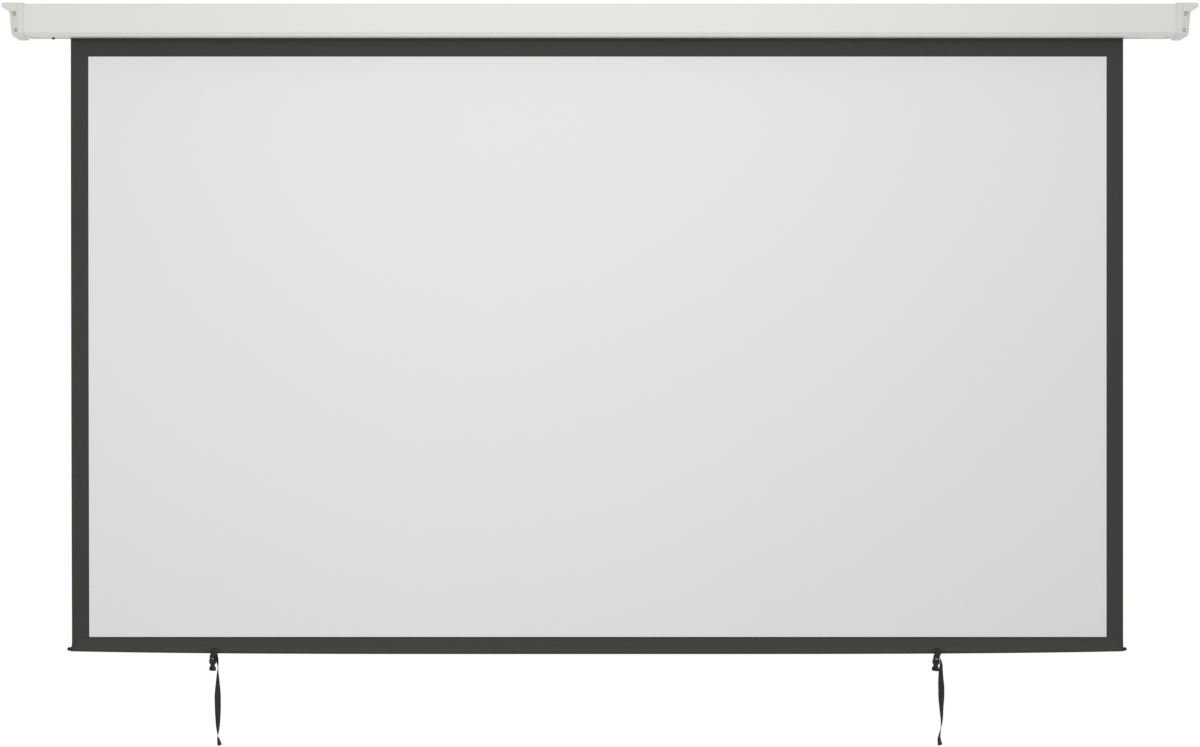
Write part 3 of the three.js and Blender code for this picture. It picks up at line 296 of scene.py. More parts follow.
def thread():
    shader = material("stitching_thread")
    twist = noise(shader, place(shader), STRAND_PER_METRE, 1)
    colour = blend(shader, twist, THREAD_DARK, THREAD_LIGHT)
    shader.set("Principled BSDF", {"Base Color": colour, "Roughness": 0.55 + 0.2 * twist})
    return shader.owner


webbing_look = black_webbing()
thread_look = thread()
print("webbing look ready")

# %% [markdown]
# ## Meshes from rings of points
# A strap, a hem and a roll of cloth are all one outline carried along a path.
# `skin` joins the outlines, and `build` makes the mesh, with each point's place on the flat cloth.

# %% Mesh helpers
SHARP_ANGLE = math.radians(50)


def skin(rings, closed=True, capped=True):
    count = len(rings[0])
    sides = count if closed else count - 1
    faces = []
    for ring in range(len(rings) - 1):
        low, high = ring * count, (ring + 1) * count
        for k in range(sides):
            after = (k + 1) % count
            faces.append((low + k, low + after, high + after, high + k))
    if capped:
        faces.append(tuple(range(count)))
        faces.append(tuple(range((len(rings) - 1) * count, len(rings) * count)))
    return faces


def build(name, points, faces, flat, looks, body):
    mesh = bpy.data.meshes.new(name)
    mesh.from_pydata(points, [], faces)
    uv = mesh.uv_layers.new(name="cloth")
    for loop in mesh.loops:
        uv.data[loop.index].uv = flat[loop.vertex_index]
    work = bmesh.new()
    work.from_mesh(mesh)
    bmesh.ops.recalc_face_normals(work, faces=work.faces)
    work.to_mesh(mesh)
    work.free()
    for polygon in mesh.polygons:
        polygon.use_smooth = True
    mesh.set_sharp_from_angle(angle=SHARP_ANGLE)
    for look in looks:
        mesh.materials.append(look)
    made = bpy.data.objects.new(name, mesh)
    bpy.context.scene.collection.objects.link(made)
    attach(made, body)
    return made


def smooth_share(value):
    value = min(max(value, 0), 1)
    return value * value * (3 - 2 * value)


print("mesh helpers ready")

# %% [markdown]
# ## A smooth line through given points
# The straps follow points that were read off the photograph.
# A Catmull-Rom spline passes through all of them; the centripetal kind never makes a loop between two.

# %% Smooth line
LEAST_KNOT = 1e-4


def hermite(before, start, end, after, share):
    knots = [math.sqrt((q - p).length) for p, q in ((before, start), (start, end), (end, after))]
    middle = knots[1] if knots[1] > LEAST_KNOT else 1
    first = knots[0] if knots[0] > LEAST_KNOT else middle
    last = knots[2] if knots[2] > LEAST_KNOT else middle
    leave = (start - before) / first - (end - before) / (first + middle) + (end - start) / middle
    arrive = (end - start) / middle - (after - start) / (middle + last) + (after - end) / last
    leave, arrive = leave * middle, arrive * middle
    square, cube = share**2, share**3
    return (
        start * (2 * cube - 3 * square + 1)
        + leave * (cube - 2 * square + share)
        + end * (3 * square - 2 * cube)
        + arrive * (cube - square)
    )


def smooth_line(points, steps):
    """The line through the points, as (point, place), where place counts the given points."""
    ends = [2 * points[0] - points[1], *points, 2 * points[-1] - points[-2]]
    line = [(points[0], 0.0)]
    for i in range(len(points) - 1):
        count = max(1, steps(i))
        for k in range(1, count + 1):
            share = k / count
            line.append((hermite(*ends[i : i + 4], share), i + share))
    return line


def between(values, where):
    low = min(int(where), len(values) - 2)
    return values[low] + (values[low + 1] - values[low]) * (where - low)


print("spline ready")

# %% [markdown]
# ## Strap ribbons
# The webbing is a flat band with soft, slightly thinner edges.
# At each step it has a place, a direction across, and a direction that its face looks to.

# %% Ribbon
BAND_POINTS = 10
BAND_CORNER = 0.3


def band_outline():
    """Points round the flat webbing, as (across, out), with round edges."""
    outline = []
    for k in range(2 * BAND_POINTS):
        angle = 2 * math.pi * (k + 0.5) / (2 * BAND_POINTS)
        c, s = math.cos(angle), math.sin(angle)
        across = math.copysign(abs(c) ** BAND_CORNER, c) * WEBBING_WIDTH / 2
        out = math.copysign(abs(s) ** BAND_CORNER, s) * WEBBING_THICKNESS / 2
        outline.append((across, out))
    return outline


def turned(degrees):
    return Vector((math.cos(math.radians(degrees)), math.sin(math.radians(degrees)), 0))


def ribbon_frames(stations):
    """Adds to each (point, across) the direction that the band's face looks to."""
    frames = []
    for i, (at, across) in enumerate(stations):
        ahead = stations[min(i + 1, len(stations) - 1)][0] - stations[max(i - 1, 0)][0]
        ahead.normalize()
        side = (across - ahead * across.dot(ahead)).normalized()
        frames.append((at, side, ahead.cross(side)))
    return frames


def ribbon(name, frames, body):
    outline = band_outline()
    points, flat, rings, along = [], [], [], 0.0
    for i, (at, side, face) in enumerate(frames):
        along += (at - frames[i - 1][0]).length if i else 0
        ring = [at + side * across + face * out for across, out in outline]
        rings.append(ring)
        points += ring
        flat += [(across, along) for across, _ in outline]
    return build(name, points, skin(rings), flat, [webbing_look], body)


print("ribbon ready")

# %% [markdown]
# ## Stitches
# A sewn end is held by rows of thread.
# Each stitch is a short round bead, sunk a little into the webbing.

# %% Stitches
STITCH_LENGTH = 1.9 * MM
STITCH_PITCH = 2.7 * MM
STITCH_RADIUS = 0.32 * MM
STITCH_SIDES = 6
STITCH_SHAPE = ((-0.5, 0.25), (-0.36, 0.85), (0, 1), (0.36, 0.85), (0.5, 0.25))


def stitch_rows(name, rows, body):
    """Each row is (start, end, out), and its stitches lie on the line from start to end."""
    points, faces = [], []
    for start, end, out in rows:
        run = end - start
        count = max(1, int(run.length / STITCH_PITCH))
        ahead = run.normalized()
        beside = ahead.cross(out).normalized()
        for i in range(count):
            middle = start + run * (i + 0.5) / count
            rings = []
            for share, swell in STITCH_SHAPE:
                centre = middle + ahead * share * STITCH_LENGTH
                radius = STITCH_RADIUS * swell
                turns = [2 * math.pi * k / STITCH_SIDES for k in range(STITCH_SIDES)]
                rings.append(
                    [centre + (beside * math.cos(t) + out * math.sin(t)) * radius for t in turns]
                )
            base = len(points)
            faces += [tuple(base + k for k in face) for face in skin(rings)]
            points += [p for ring in rings for p in ring]
    flat = [(p.x, p.z) for p in points]
    return build(name, points, faces, flat, [thread_look], body)


print("stitches ready")

# %% [markdown]
# ## The two straps
# Each strap hooks through its buckle, goes up and over the weight bar,
# and hangs down behind as a free tail.
# The tails twist on the way down, so from the front they look wide in one place and thin in another.
# A tail's route lists the offset along X, the drop below the bar and the turn in degrees.

# %% Strap routes
STRAPS = {
    "left": {
        "share": -0.7273,
        "turn": -46,
        "lean": 0,
        "route": [
            (0, 4.4, -4),
            (1.3, 9, -24),
            (5.8, 20, -58),
            (7.9, 35, -84),
            (7.6, 48, -97),
            (7.5, 75, -127),
            (7.5, 103, -172),
            (7.8, 132, -198),
            (7.8, 165, -231),
            (8.2, 187, -270),
            (11.8, 204.5, -301),
        ],
    },
    "right": {
        "share": 0.6474,
        "turn": -52,
        "lean": 5,
        "route": [
            (0, 4.8, -6),
            (1.2, 8.4, -46),
            (5.4, 14.5, -94),
            (7.8, 28, -118),
            (7, 43, -135),
            (7.1, 60, -150),
            (8, 82, -180),
            (8.1, 118, -231),
            (8.6, 154, -263),
            (4.6, 180, -290),
            (3.4, 192, -300),
            (5.6, 203.5, -313),
        ],
    },
}
RING_RADIUS = BAR_RADIUS + GAP + WEBBING_THICKNESS / 2
TAIL_START = 1 * MM
LEG_DROP = 4.6 * MM
SETTLE_INDEX = 4
TAIL_STEP = 1.7


def bar_height(x):
    share = (x - FABRIC_SHIFT) / (FABRIC_WIDTH / 2)
    return BAR_END_HEIGHT - BAR_SAG * (1 - share**4)


def strap_place(strap):
    return FABRIC_SHIFT + strap["share"] * FABRIC_WIDTH / 2


def tail_stations(strap):
    """The tail's middle line and its direction across, from the bar down."""
    x, start = strap_place(strap), (TAIL_START + GAP) / MM
    route = [(0, start, 0), (0, start + GAP / MM, 0), *strap["route"]]
    settle = strap["route"][SETTLE_INDEX][1] * MM
    points = []
    for across, drop, _ in route:
        drop *= MM
        share = min(max((settle - drop) / (settle - LEG_DROP), 0), 1)
        points.append(
            Vector((x + across * MM, FABRIC_Y + RING_RADIUS * share, bar_height(x) - drop))
        )
    drops = [drop for _, drop, _ in route]
    line = smooth_line(points, lambda i: round((drops[i + 1] - drops[i]) / TAIL_STEP))
    turns = [turn for *_, turn in route]
    return [(at, turned(between(turns, where))) for at, where in line[1:]]


for side, strap in STRAPS.items():
    print(side, "tail:", len(tail_stations(strap)), "steps")

# %% [markdown]
# ## Free tails
# The last stretch of a tail is folded back on itself and sewn, which keeps the end from fraying.
# So the band runs down, turns round a small bend, and comes up again behind itself.

# %% Free tails
SEWN_LENGTH = 16 * MM
FOLD_OFFSET = 0.66 * MM
FOLD_EASE = 7 * MM
FOLD_STEPS = 4
STITCH_ROWS_AT = (3 * MM, 8.2 * MM, 13.4 * MM)
STITCH_INSET = 1.3 * MM


def folded(stations):
    """The stations of a band whose last stretch is doubled back behind it."""
    frames = ribbon_frames(stations)
    lengths = [0.0]
    for (a, *_), (b, *_) in zip(frames, frames[1:]):
        lengths.append(lengths[-1] + (b - a).length)
    end = lengths[-1] - FOLD_OFFSET
    front, back = [], []
    for (at, side, face), along in zip(frames, lengths):
        left = end - along
        if left < 0:
            continue
        ease = smooth_share(1 - (left - SEWN_LENGTH) / FOLD_EASE)
        front.append((at - face * FOLD_OFFSET * ease, side, face))
        if left < SEWN_LENGTH:
            back.append((at + face * FOLD_OFFSET, side, -face))
    at, side, face = frames[-1]
    ahead = side.cross(face)
    bend = []
    for k in range(FOLD_STEPS + 1):
        angle = math.pi * k / FOLD_STEPS
        out = (-face * math.cos(angle) + ahead * math.sin(angle)) * FOLD_OFFSET
        facing = face * math.cos(angle) - ahead * math.sin(angle)
        bend.append((at - ahead * FOLD_OFFSET + out, side, facing))
    return front + bend + back[::-1]


def sewn_rows(frames, reach):
    """Rows of stitches across a doubled band, on both its faces."""
    rows = []
    half = WEBBING_WIDTH / 2 - STITCH_INSET
    for from_end in STITCH_ROWS_AT:
        at, side, face = min(
            frames, key=lambda f: abs((f[0] - frames[-1][0]).length - from_end)
        )
        for way in (-1, 1):
            middle = at + face * way * reach
            rows.append((middle - side * half, middle + side * half, face * way))
    return rows


for side, strap in STRAPS.items():
    stations = tail_stations(strap)
    body = "strap_" + side
    tail = ribbon(body + "_free_tail", folded(stations), body)
    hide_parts(body + "_tail")
    reach = FOLD_OFFSET + WEBBING_THICKNESS / 2
    rows = sewn_rows(ribbon_frames(stations), reach)
    seam = stitch_rows(body + "_tail_stitches", rows, body)
    print(tail.name, "has", len(tail.data.vertices), "points")

# %% [markdown]
# ## Loops over the bar
# The strap's fixed end hooks round the buckle's top bar and is sewn to the leg that goes up.
# The leg bends gently into the ring that lies on the weight bar.
# Its four spans get extra steps, so that the bend is smooth.

# %% Strap loops
BUCKLE_SHIFT = -3 * MM
BUCKLE_FORWARD = 6 * MM
HOOK_RISE = 4.4 * MM
SOCKET_BAR_HEIGHT = 2.4 * MM
SOCKET_BAR_THICKNESS = 3 * MM
LEG_FORWARD = 1.9 * MM
LEG_TURN_SHARE = 0.6
HOOK_STITCH_HEIGHT = 2.6 * MM
HOOK_STEPS = 12
RING_STEPS = 16
LEG_SPANS = range(13, 17)
LEG_STEPS = 3


def buckle_matrix(strap):
    x = strap_place(strap)
    drop = HEM_RADIUS + HOOK_RISE + WEBBING_THICKNESS + GAP
    at = Vector((x + BUCKLE_SHIFT, FABRIC_Y - BUCKLE_FORWARD, bar_height(x) - drop))
    lean = Matrix.Rotation(math.radians(strap["lean"]), 4, "Y")
    turn = Matrix.Rotation(math.radians(strap["turn"]), 4, "Z")
    return Matrix.Translation(at) @ lean @ turn


def loop_stations(strap):
    x, local = strap_place(strap), buckle_matrix(strap)
    axis = bar_height(x)
    reach = SOCKET_BAR_THICKNESS / 2 + GAP + WEBBING_THICKNESS / 2
    low = GAP - SOCKET_BAR_HEIGHT
    hook = [(reach, HOOK_RISE - 2 * GAP), (reach, low)]
    for step in range(1, HOOK_STEPS):
        angle = step * math.pi / HOOK_STEPS
        hook.append((reach * math.cos(angle), low - reach * math.sin(angle)))
    hook += [(-reach, low), (-reach, WEBBING_THICKNESS)]
    stations = [(local @ Vector((0, y, z)), strap["turn"]) for y, z in hook]
    leg = Vector((x, FABRIC_Y - RING_RADIUS - LEG_FORWARD, axis - LEG_DROP))
    stations.append((stations[-1][0].lerp(leg, 0.5), strap["turn"] * LEG_TURN_SHARE))
    stations.append((leg, 0))
    for step in range(RING_STEPS + 1):
        angle = math.pi - math.pi * step / RING_STEPS
        y, z = RING_RADIUS * math.cos(angle), RING_RADIUS * math.sin(angle)
        stations.append((Vector((x, FABRIC_Y + y, axis + z)), 0))
    stations.append((Vector((x, FABRIC_Y + RING_RADIUS, axis - TAIL_START)), 0))
    return stations


def loop_frames(strap):
    stations = loop_stations(strap)
    turns = [turn for _, turn in stations]
    line = smooth_line([at for at, _ in stations], lambda i: LEG_STEPS if i in LEG_SPANS else 1)
    return ribbon_frames([(at, turned(between(turns, where))) for at, where in line])


for side, strap in STRAPS.items():
    body = "strap_" + side
    loop = ribbon(body + "_webbing_loop", loop_frames(strap), body)
    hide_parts(body + "_loop")
    local, half = buckle_matrix(strap), WEBBING_WIDTH / 2 - STITCH_INSET
    out = SOCKET_BAR_THICKNESS / 2 + GAP + WEBBING_THICKNESS
    across = local.to_3x3() @ Vector((half, 0, 0))
    normal = local.to_3x3() @ Vector((0, 1, 0))
    middle = local @ Vector((0, out, HOOK_STITCH_HEIGHT))
    stitch_rows(body + "_hook_stitches", [(middle - across, middle + across, normal)], body)
    print(loop.name, "made")

# %% [markdown]
# ## Screen cloth
# The cloth is white on the front, with a black printed border and a black back that stops light.
# It hangs almost flat. A tiny wave stays in any real cloth, and it is what catches the light.
# White and black are separate faces, so the border's edge is sharp.

# %% Looks of the screen cloth
WEAVE_PITCH = 0.55 * MM
DRIFT_PER_METRE = 1.7
FIBRE_PER_METRE = 1300
SCREEN_WHITE = (0.790, 0.790, 0.777)
BORDER_BLACK = (0.0425, 0.0405, 0.0368)
HEM_BLACK = (0.0465, 0.045, 0.0395)
BACKING_BLACK = (0.020, 0.020, 0.0205)


def weave(shader, pitch):
    """A plain weave: each thread goes over one neighbour and under the next."""
    uv = place(shader, "UV")
    x = shader.node("ShaderNodeSeparateXYZ", None, {0: uv}, out="X") * (math.pi / pitch)
    y = shader.node("ShaderNodeSeparateXYZ", None, {0: uv}, out="Y") * (math.pi / pitch)
    return 0.5 + 0.5 * x.sine() * y.sine()


def screen_cloth(name, colour, spread, roughness, depth):
    shader = material(name)
    threads = weave(shader, WEAVE_PITCH)
    drift = noise(shader, place(shader), DRIFT_PER_METRE, 3)
    fibre = noise(shader, place(shader), FIBRE_PER_METRE, 3)
    tone = 0.5 * drift + 0.3 * fibre + 0.2 * threads
    mixed = blend(shader, tone, shade(colour, 1 - spread), shade(colour, 1 + spread))
    shader.set(
        "Principled BSDF",
        {
            "Base Color": mixed,
            "Roughness": roughness + 0.1 * (fibre - 0.5),
            "Specular IOR Level": 0.25,
            "Normal": bump(shader, threads + 0.5 * fibre, depth),
        },
    )
    return shader.owner


white_look = screen_cloth("white_cloth", SCREEN_WHITE, 0.012, 0.85, 0.03 * MM)
border_look = screen_cloth("black_border", BORDER_BLACK, 0.10, 0.62, 0.03 * MM)
backing_look = screen_cloth("black_backing", BACKING_BLACK, 0.15, 0.7, 0.05 * MM)
hem_look = screen_cloth("black_hem", HEM_BLACK, 0.12, 0.55, 0.04 * MM)
print("cloth looks ready")

# %% [markdown]
# ## Hanging the cloth
# The grid has a line exactly at each border. The cloth's two waves die out near the slot and
# the hem, where it is held. Each wave has a share of the depth, a length in metres, a start,
# and a drift on the way down. The photograph shows the white a little lower and further right
# than the plain sizes say, and the left edge draws in towards the hem.

# %% Screen cloth
GRID_STEP = 24 * MM
WAVE_DEPTH = 0.55 * MM
WAVES = ((1, 1.13, 0.7, 0.6), (0.4, 0.41, 2.1, -1.4))
SLOT_SHARE = 0.05
SLOT_EASE = 3
HEM_EASE = 4
LIFT = 1.32
WHITE_TOP = VIEW_TOP - 2.8 * MM
WHITE_SHIFT = 2 * MM
DRAW_IN = 2.6 * MM
DRAW_ZONE = 250 * MM


def steps_between(low, high):
    count = max(1, round(abs(high - low) / GRID_STEP))
    return [low + (high - low) * i / count for i in range(count)]


def down_share(z):
    return (FABRIC_TOP - z) / (FABRIC_TOP - HEM_SEAM)


def wave(x, z):
    share = down_share(z)
    held = smooth_share((share - SLOT_SHARE) * SLOT_EASE) * smooth_share((1 - share) * HEM_EASE)
    return WAVE_DEPTH * held * sum(
        part * math.sin(2 * math.pi * x / length + start + drift * share)
        for part, length, start, drift in WAVES
    )


def drawn_in(x, z):
    """How far the cloth near the left edge moves inwards, most at the hem."""
    near = max(0, 1 - (x - fabric_left) / DRAW_ZONE)
    return DRAW_IN * down_share(z) ** 2 * near


def cloth_grid():
    view = (FABRIC_SHIFT - VIEW_WIDTH / 2 + WHITE_SHIFT, FABRIC_SHIFT + VIEW_WIDTH / 2)
    columns = [
        *steps_between(fabric_left, view[0]),
        *steps_between(view[0], view[1]),
        *steps_between(view[1], fabric_right),
        fabric_right,
    ]
    rows = [
        *steps_between(FABRIC_TOP, WHITE_TOP),
        *steps_between(WHITE_TOP, VIEW_BOTTOM),
        *steps_between(VIEW_BOTTOM, HEM_SEAM),
        HEM_SEAM,
    ]
    return columns, rows, view


def screen_sheet():
    columns, rows, view = cloth_grid()
    wide, tall = len(columns), len(rows)
    points, flat = [], []
    for way in (-1, 1):
        for z in rows:
            for x in columns:
                y = FABRIC_Y + way * FABRIC_THICKNESS / 2 + wave(x, z)
                points.append((x + drawn_in(x, z), y, z))
                flat.append((x, -z))
    faces, kinds, back = [], [], wide * tall
    for r in range(tall - 1):
        for c in range(wide - 1):
            a, b = r * wide + c, (r + 1) * wide + c
            inside = columns[c] + GAP > view[0] and columns[c + 1] - GAP < view[1]
            inside = inside and rows[r] - GAP < WHITE_TOP and rows[r + 1] + GAP > VIEW_BOTTOM
            faces.append((a, b, b + 1, a + 1))
            kinds.append(0 if inside else 1)
            faces.append((back + a, back + a + 1, back + b + 1, back + b))
            kinds.append(2)
    rim = [(r * wide, (r + 1) * wide) for r in range(tall - 1)]
    rim += [(r * wide + wide - 1, (r + 1) * wide + wide - 1) for r in range(tall - 1)]
    rim += [(c, c + 1) for c in range(wide - 1)]
    rim += [((tall - 1) * wide + c, (tall - 1) * wide + c + 1) for c in range(wide - 1)]
    faces += [(a, b, back + b, back + a) for a, b in rim]
    kinds += [2] * len(rim)
    made = build(
        "screen_cloth", points, faces, flat, [white_look, border_look, backing_look], "casing"
    )
    for polygon, kind in zip(made.data.polygons, kinds):
        polygon.material_index = kind
    return made


cloth = screen_sheet()
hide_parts("screen_fabric")
flat_size = (FABRIC_WIDTH, FABRIC_TOP - HEM_SEAM)
1 - LIFT / flat_size[1]
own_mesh(cloth)
print("cloth cut to", [round(size, 4) for size in flat_size])

# %% [markdown]
# ## Hem
# The lower edge is one fold of the black cloth: down the front, round the bar and up the back.
# It is welded to the screen cloth along two lines above the bar.
# At each strap the fold is cut away, and the webbing on the bar shows.
# Where the cloth draws in, the fold above the bar follows it, and the part on the bar stays.
# Each pucker has a depth and a rate along the hem.
# Each step of the flare has its way out, its height in bar radii, and how much it calms the puckers.

# %% Hem pocket
HEM_THICKNESS = 0.4 * MM
HEM_STEP = 20 * MM
BELLY_WRAP = 4 * math.pi / 3
BELLY_STEPS = 18
NOTCH_GAP = 0.2 * MM
NOTCH_TOP = RING_RADIUS + WEBBING_THICKNESS / 2 + NOTCH_GAP
WELD_RISE = 0.22 * MM
WELDS_AT = (1.2 * MM, 5.0 * MM)
WELD_HALF = 0.7 * MM
HEM_OVERLAP = 4 * MM
LAYER_ROOM = 0.05 * MM
PUCKERS = ((0.25 * MM, 2 * math.pi / 0.19), (0.15 * MM, 91))
FLARE = ((0.3 * MM, 2.05, 2), (1.1 * MM, 1.45, 3))
FLARE_OUT = 1.8 * MM
FOLLOW_RISE = HEM_RADIUS / 2


def hem_outline(x):
    """Front, round the bar and back, as (across, height)."""
    axis = bar_height(x)
    strip = HEM_THICKNESS / 2 + FABRIC_THICKNESS / 2 + LAYER_ROOM
    pucker = sum(depth * math.sin(rate * x) for depth, rate in PUCKERS)
    top = HEM_SEAM + HEM_OVERLAP
    flap = [(strip, top)]
    for weld in WELDS_AT:
        for away, sink in ((-WELD_HALF, 0), (0, WELD_RISE), (WELD_HALF, 0)):
            flap.append((strip - sink / 2, top - (weld + away)))
    for out, radii, calm in FLARE:
        flap.append((strip + out + pucker / calm, axis + radii * HEM_RADIUS))
    flap.append((strip + FLARE_OUT, axis + NOTCH_TOP))
    radius = HEM_RADIUS - HEM_THICKNESS / 2
    belly = []
    for i in range(BELLY_STEPS + 1):
        angle = -math.pi / 2 - BELLY_WRAP * (i / BELLY_STEPS - 0.5)
        belly.append((radius * math.cos(angle), axis + radius * math.sin(angle)))
    front = [(-across, height) for across, height in flap]
    return front + belly[::-1] + flap[::-1]


def hem_stations():
    stops = [fabric_left]
    for strap in STRAPS.values():
        reach = WEBBING_WIDTH / 2 + NOTCH_GAP
        stops += [strap_place(strap) - reach, strap_place(strap) + reach]
    stops.append(fabric_right)
    stations = []
    for low, high in zip(stops, stops[1:]):
        count = max(2, round((high - low) / HEM_STEP))
        stations += [low + (high - low) * i / count for i in range(count)]
    return stations + [fabric_right], stops[1:-1]


def hem():
    stations, notches = hem_stations()
    points, flat, rings = [], [], []
    for x in stations:
        ring = []
        for across, height in hem_outline(x):
            rise = (height - bar_height(x) - FOLLOW_RISE) / HEM_RADIUS
            end = x + drawn_in(x, HEM_SEAM) * min(1, max(0, rise))
            ring.append(Vector((end, FABRIC_Y + across, height)))
        lengths = [0.0]
        for a, b in zip(ring, ring[1:]):
            lengths.append(lengths[-1] + (b - a).length)
        rings.append(ring)
        points += ring
        flat += [(x, along) for along in lengths]
    faces = []
    for face in skin(rings, closed=False, capped=False):
        x = sum(points[k].x for k in face) / len(face)
        low = min(points[k].z for k in face) - bar_height(x)
        cut = any(a < x < b for a, b in zip(notches[::2], notches[1::2]))
        if not (cut and low < NOTCH_TOP - LAYER_ROOM):
            faces.append(face)
    made = build("hem_fold", points, faces, flat, [hem_look], "bottom_bar")
    solid = made.modifiers.new("thickness", "SOLIDIFY")
    solid.thickness = HEM_THICKNESS
    solid.offset = 0
    return made


hem_fold = hem()
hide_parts("hem_pocket")
print("hem has", len(hem_fold.data.polygons), "faces")

# %% [markdown]
# ## Cloth on the roller
# The spare cloth is wound two and a quarter turns round the tube, and it leaves the roll at the back.
# It is a spiral strip, so its end shows the layers.

# %% Wound cloth
ROLL_Y = -41 * MM
ROLL_RADIUS = 23.79 * MM
WIND_PITCH = 0.45 * MM
WIND_TURNS = 2.25
WIND_STEPS = 48
ROLL_COLUMNS = 12


def wound_cloth():
    spiral = []
    for i in range(round(WIND_TURNS * WIND_STEPS) + 1):
        turns = i / WIND_STEPS
        radius, angle = ROLL_RADIUS - WIND_PITCH * turns, 2 * math.pi * turns
        spiral.append((radius, angle))
    rings, flat = [], []
    columns = [
        fabric_left + FABRIC_WIDTH * i / ROLL_COLUMNS for i in range(ROLL_COLUMNS + 1)
    ]
    for x in columns:
        ring = []
        for out in (FABRIC_THICKNESS / 2, -FABRIC_THICKNESS / 2):
            line = spiral if out > 0 else spiral[::-1]
            for radius, angle in line:
                far = radius + out
                ring.append(Vector((x, ROLL_Y + far * math.cos(angle), far * math.sin(angle))))
                flat.append((x, radius * angle))
        rings.append(ring)
    points = [p for ring in rings for p in ring]
    faces = skin(rings, capped=False)
    count, half = len(rings[0]), len(rings[0]) // 2
    for start in (0, (len(rings) - 1) * count):
        for k in range(half - 1):
            a, b = start + k, start + count - 1 - k
            faces.append((a, a + 1, b - 1, b))
    return build("wound_cloth", points, faces, flat, [border_look], "roller")


roll = wound_cloth()
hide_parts("wound_fabric")
print("roll has", len(roll.data.polygons), "faces")

# %% [markdown]
# ## Black plastic
# Buckles, bar plugs and the gland are moulded from one black plastic.
# It is satin, and its edges carry a painted highlight.
# The same recipe, with other colours and grains, makes the other plastics further down.

# %% Black plastic
BLOTCH_PER_METRE = 14
PLASTIC_EDGE_HIGHLIGHT = 0.9 * MM


def plastic(name, colour, roughness, grain, depth, spread_and_edge_light, specular=0.4):
    shader = material(name)
    point = place(shader)
    fine, wide = noise(shader, point, grain, 3), noise(shader, point, BLOTCH_PER_METRE, 3)
    edge_light = edge_highlight_mask(shader, PLASTIC_EDGE_HIGHLIGHT)
    tone = 0.5 * fine + 0.5 * wide
    mixed = blend(shader, tone, shade(colour, 1 - spread_and_edge_light), shade(colour, 1 + spread_and_edge_light))
    # The edges are painted lighter: a painted highlight.
    final = blend(shader, edge_light * 0.5, mixed, shade(colour, 1 + 2 * spread_and_edge_light))
    shader.set(
        "Principled BSDF",
        {
            "Base Color": final,
            "Roughness": roughness + 0.12 * (wide - 0.5) - 0.08 * edge_light,
            "Specular IOR Level": specular,
            "Normal": bump(shader, fine, depth),
        },
    )
    return shader.owner


BUCKLE_BLACK = (0.013, 0.013, 0.0135)
black_plastic = plastic("black_plastic", BUCKLE_BLACK, 0.5, 1600, 0.03 * MM, 0.3, 0.22)
print("plastic ready")

# %% [markdown]
# ## Buckle prongs
# The two springy arms of a side-release buckle squeeze together when its plug is drawn out.

# %% Buckle prongs
BEVEL_SEGMENTS = 2
SOCKET_LENGTH = 16.5 * MM
BUCKLE_WIDTH = 17 * MM
SIDE_WALL = 1.6 * MM
CAVITY_THICKNESS = 3.8 * MM
WINDOW_TOP = 9.2 * MM
WINDOW_BOTTOM = 14.2 * MM
GUIDE_WIDTH = 3.6 * MM
GUIDE_TOP = 8.4 * MM
PRONG_THICKNESS = 1.9 * MM
PRONG_PROUD = 0.35 * MM
PRONG_ROUND = 0.35 * MM


def prong_outline():
    bottom, inner = -SOCKET_LENGTH, GUIDE_WIDTH / 2 + PRONG_THICKNESS
    wall = BUCKLE_WIDTH / 2 - SIDE_WALL - GAP
    shoulder = BUCKLE_WIDTH / 2 + PRONG_PROUD
    return [
        (inner, bottom),
        (wall - GAP, bottom),
        (wall, GAP - WINDOW_BOTTOM),
        (shoulder, GAP - WINDOW_BOTTOM),
        (shoulder, -(WINDOW_BOTTOM + WINDOW_TOP) / 2),
        (wall, -WINDOW_TOP - GAP),
        (wall - GAP, -GUIDE_TOP),
        (inner + PRONG_THICKNESS / 2, -GUIDE_TOP),
        (inner, -WINDOW_TOP - GAP),
    ]


def prong(side, label, way):
    local = buckle_matrix(STRAPS[side])
    depth = CAVITY_THICKNESS / 2 - GAP
    rings = [
        [local @ Vector((way * across, y, z)) for across, z in prong_outline()]
        for y in (-depth, depth)
    ]
    points = [p for ring in rings for p in ring]
    flat = [(p.x, p.z) for p in points]
    name = "buckle_" + side + "_prong_" + label
    made = build(name + "_spring", points, skin(rings), flat, [black_plastic], "buckle_" + side)
    rounding = made.modifiers.new("rounding", "BEVEL")
    rounding.width = PRONG_ROUND
    rounding.segments = BEVEL_SEGMENTS
    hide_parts(name)
    "buckle_" + side + "_release"
    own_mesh(made)
    return made


for side in STRAPS:
    made = [prong(side, label, way) for label, way in (("left", -1), ("right", 1))]
    print(*(o.name for o in made))

# %% [markdown]
# ## Finishes of the hard parts
# The casing is powder-coated steel: a soft sheen over a very fine orange peel.
# The end caps are moulded from a plastic that matches it, with a finer grain.
# The metal parts inside are zinc-plated, nickel-plated or painted, and each has its own marks. All
# these finishes paint a highlight along their edges.

# %% Paint and plastics
PEEL_PER_METRE = 650
CLOUDS_PER_METRE = 2.2
DUST_PER_METRE = 5
PAINT_EDGE_HIGHLIGHT = 0.8 * MM


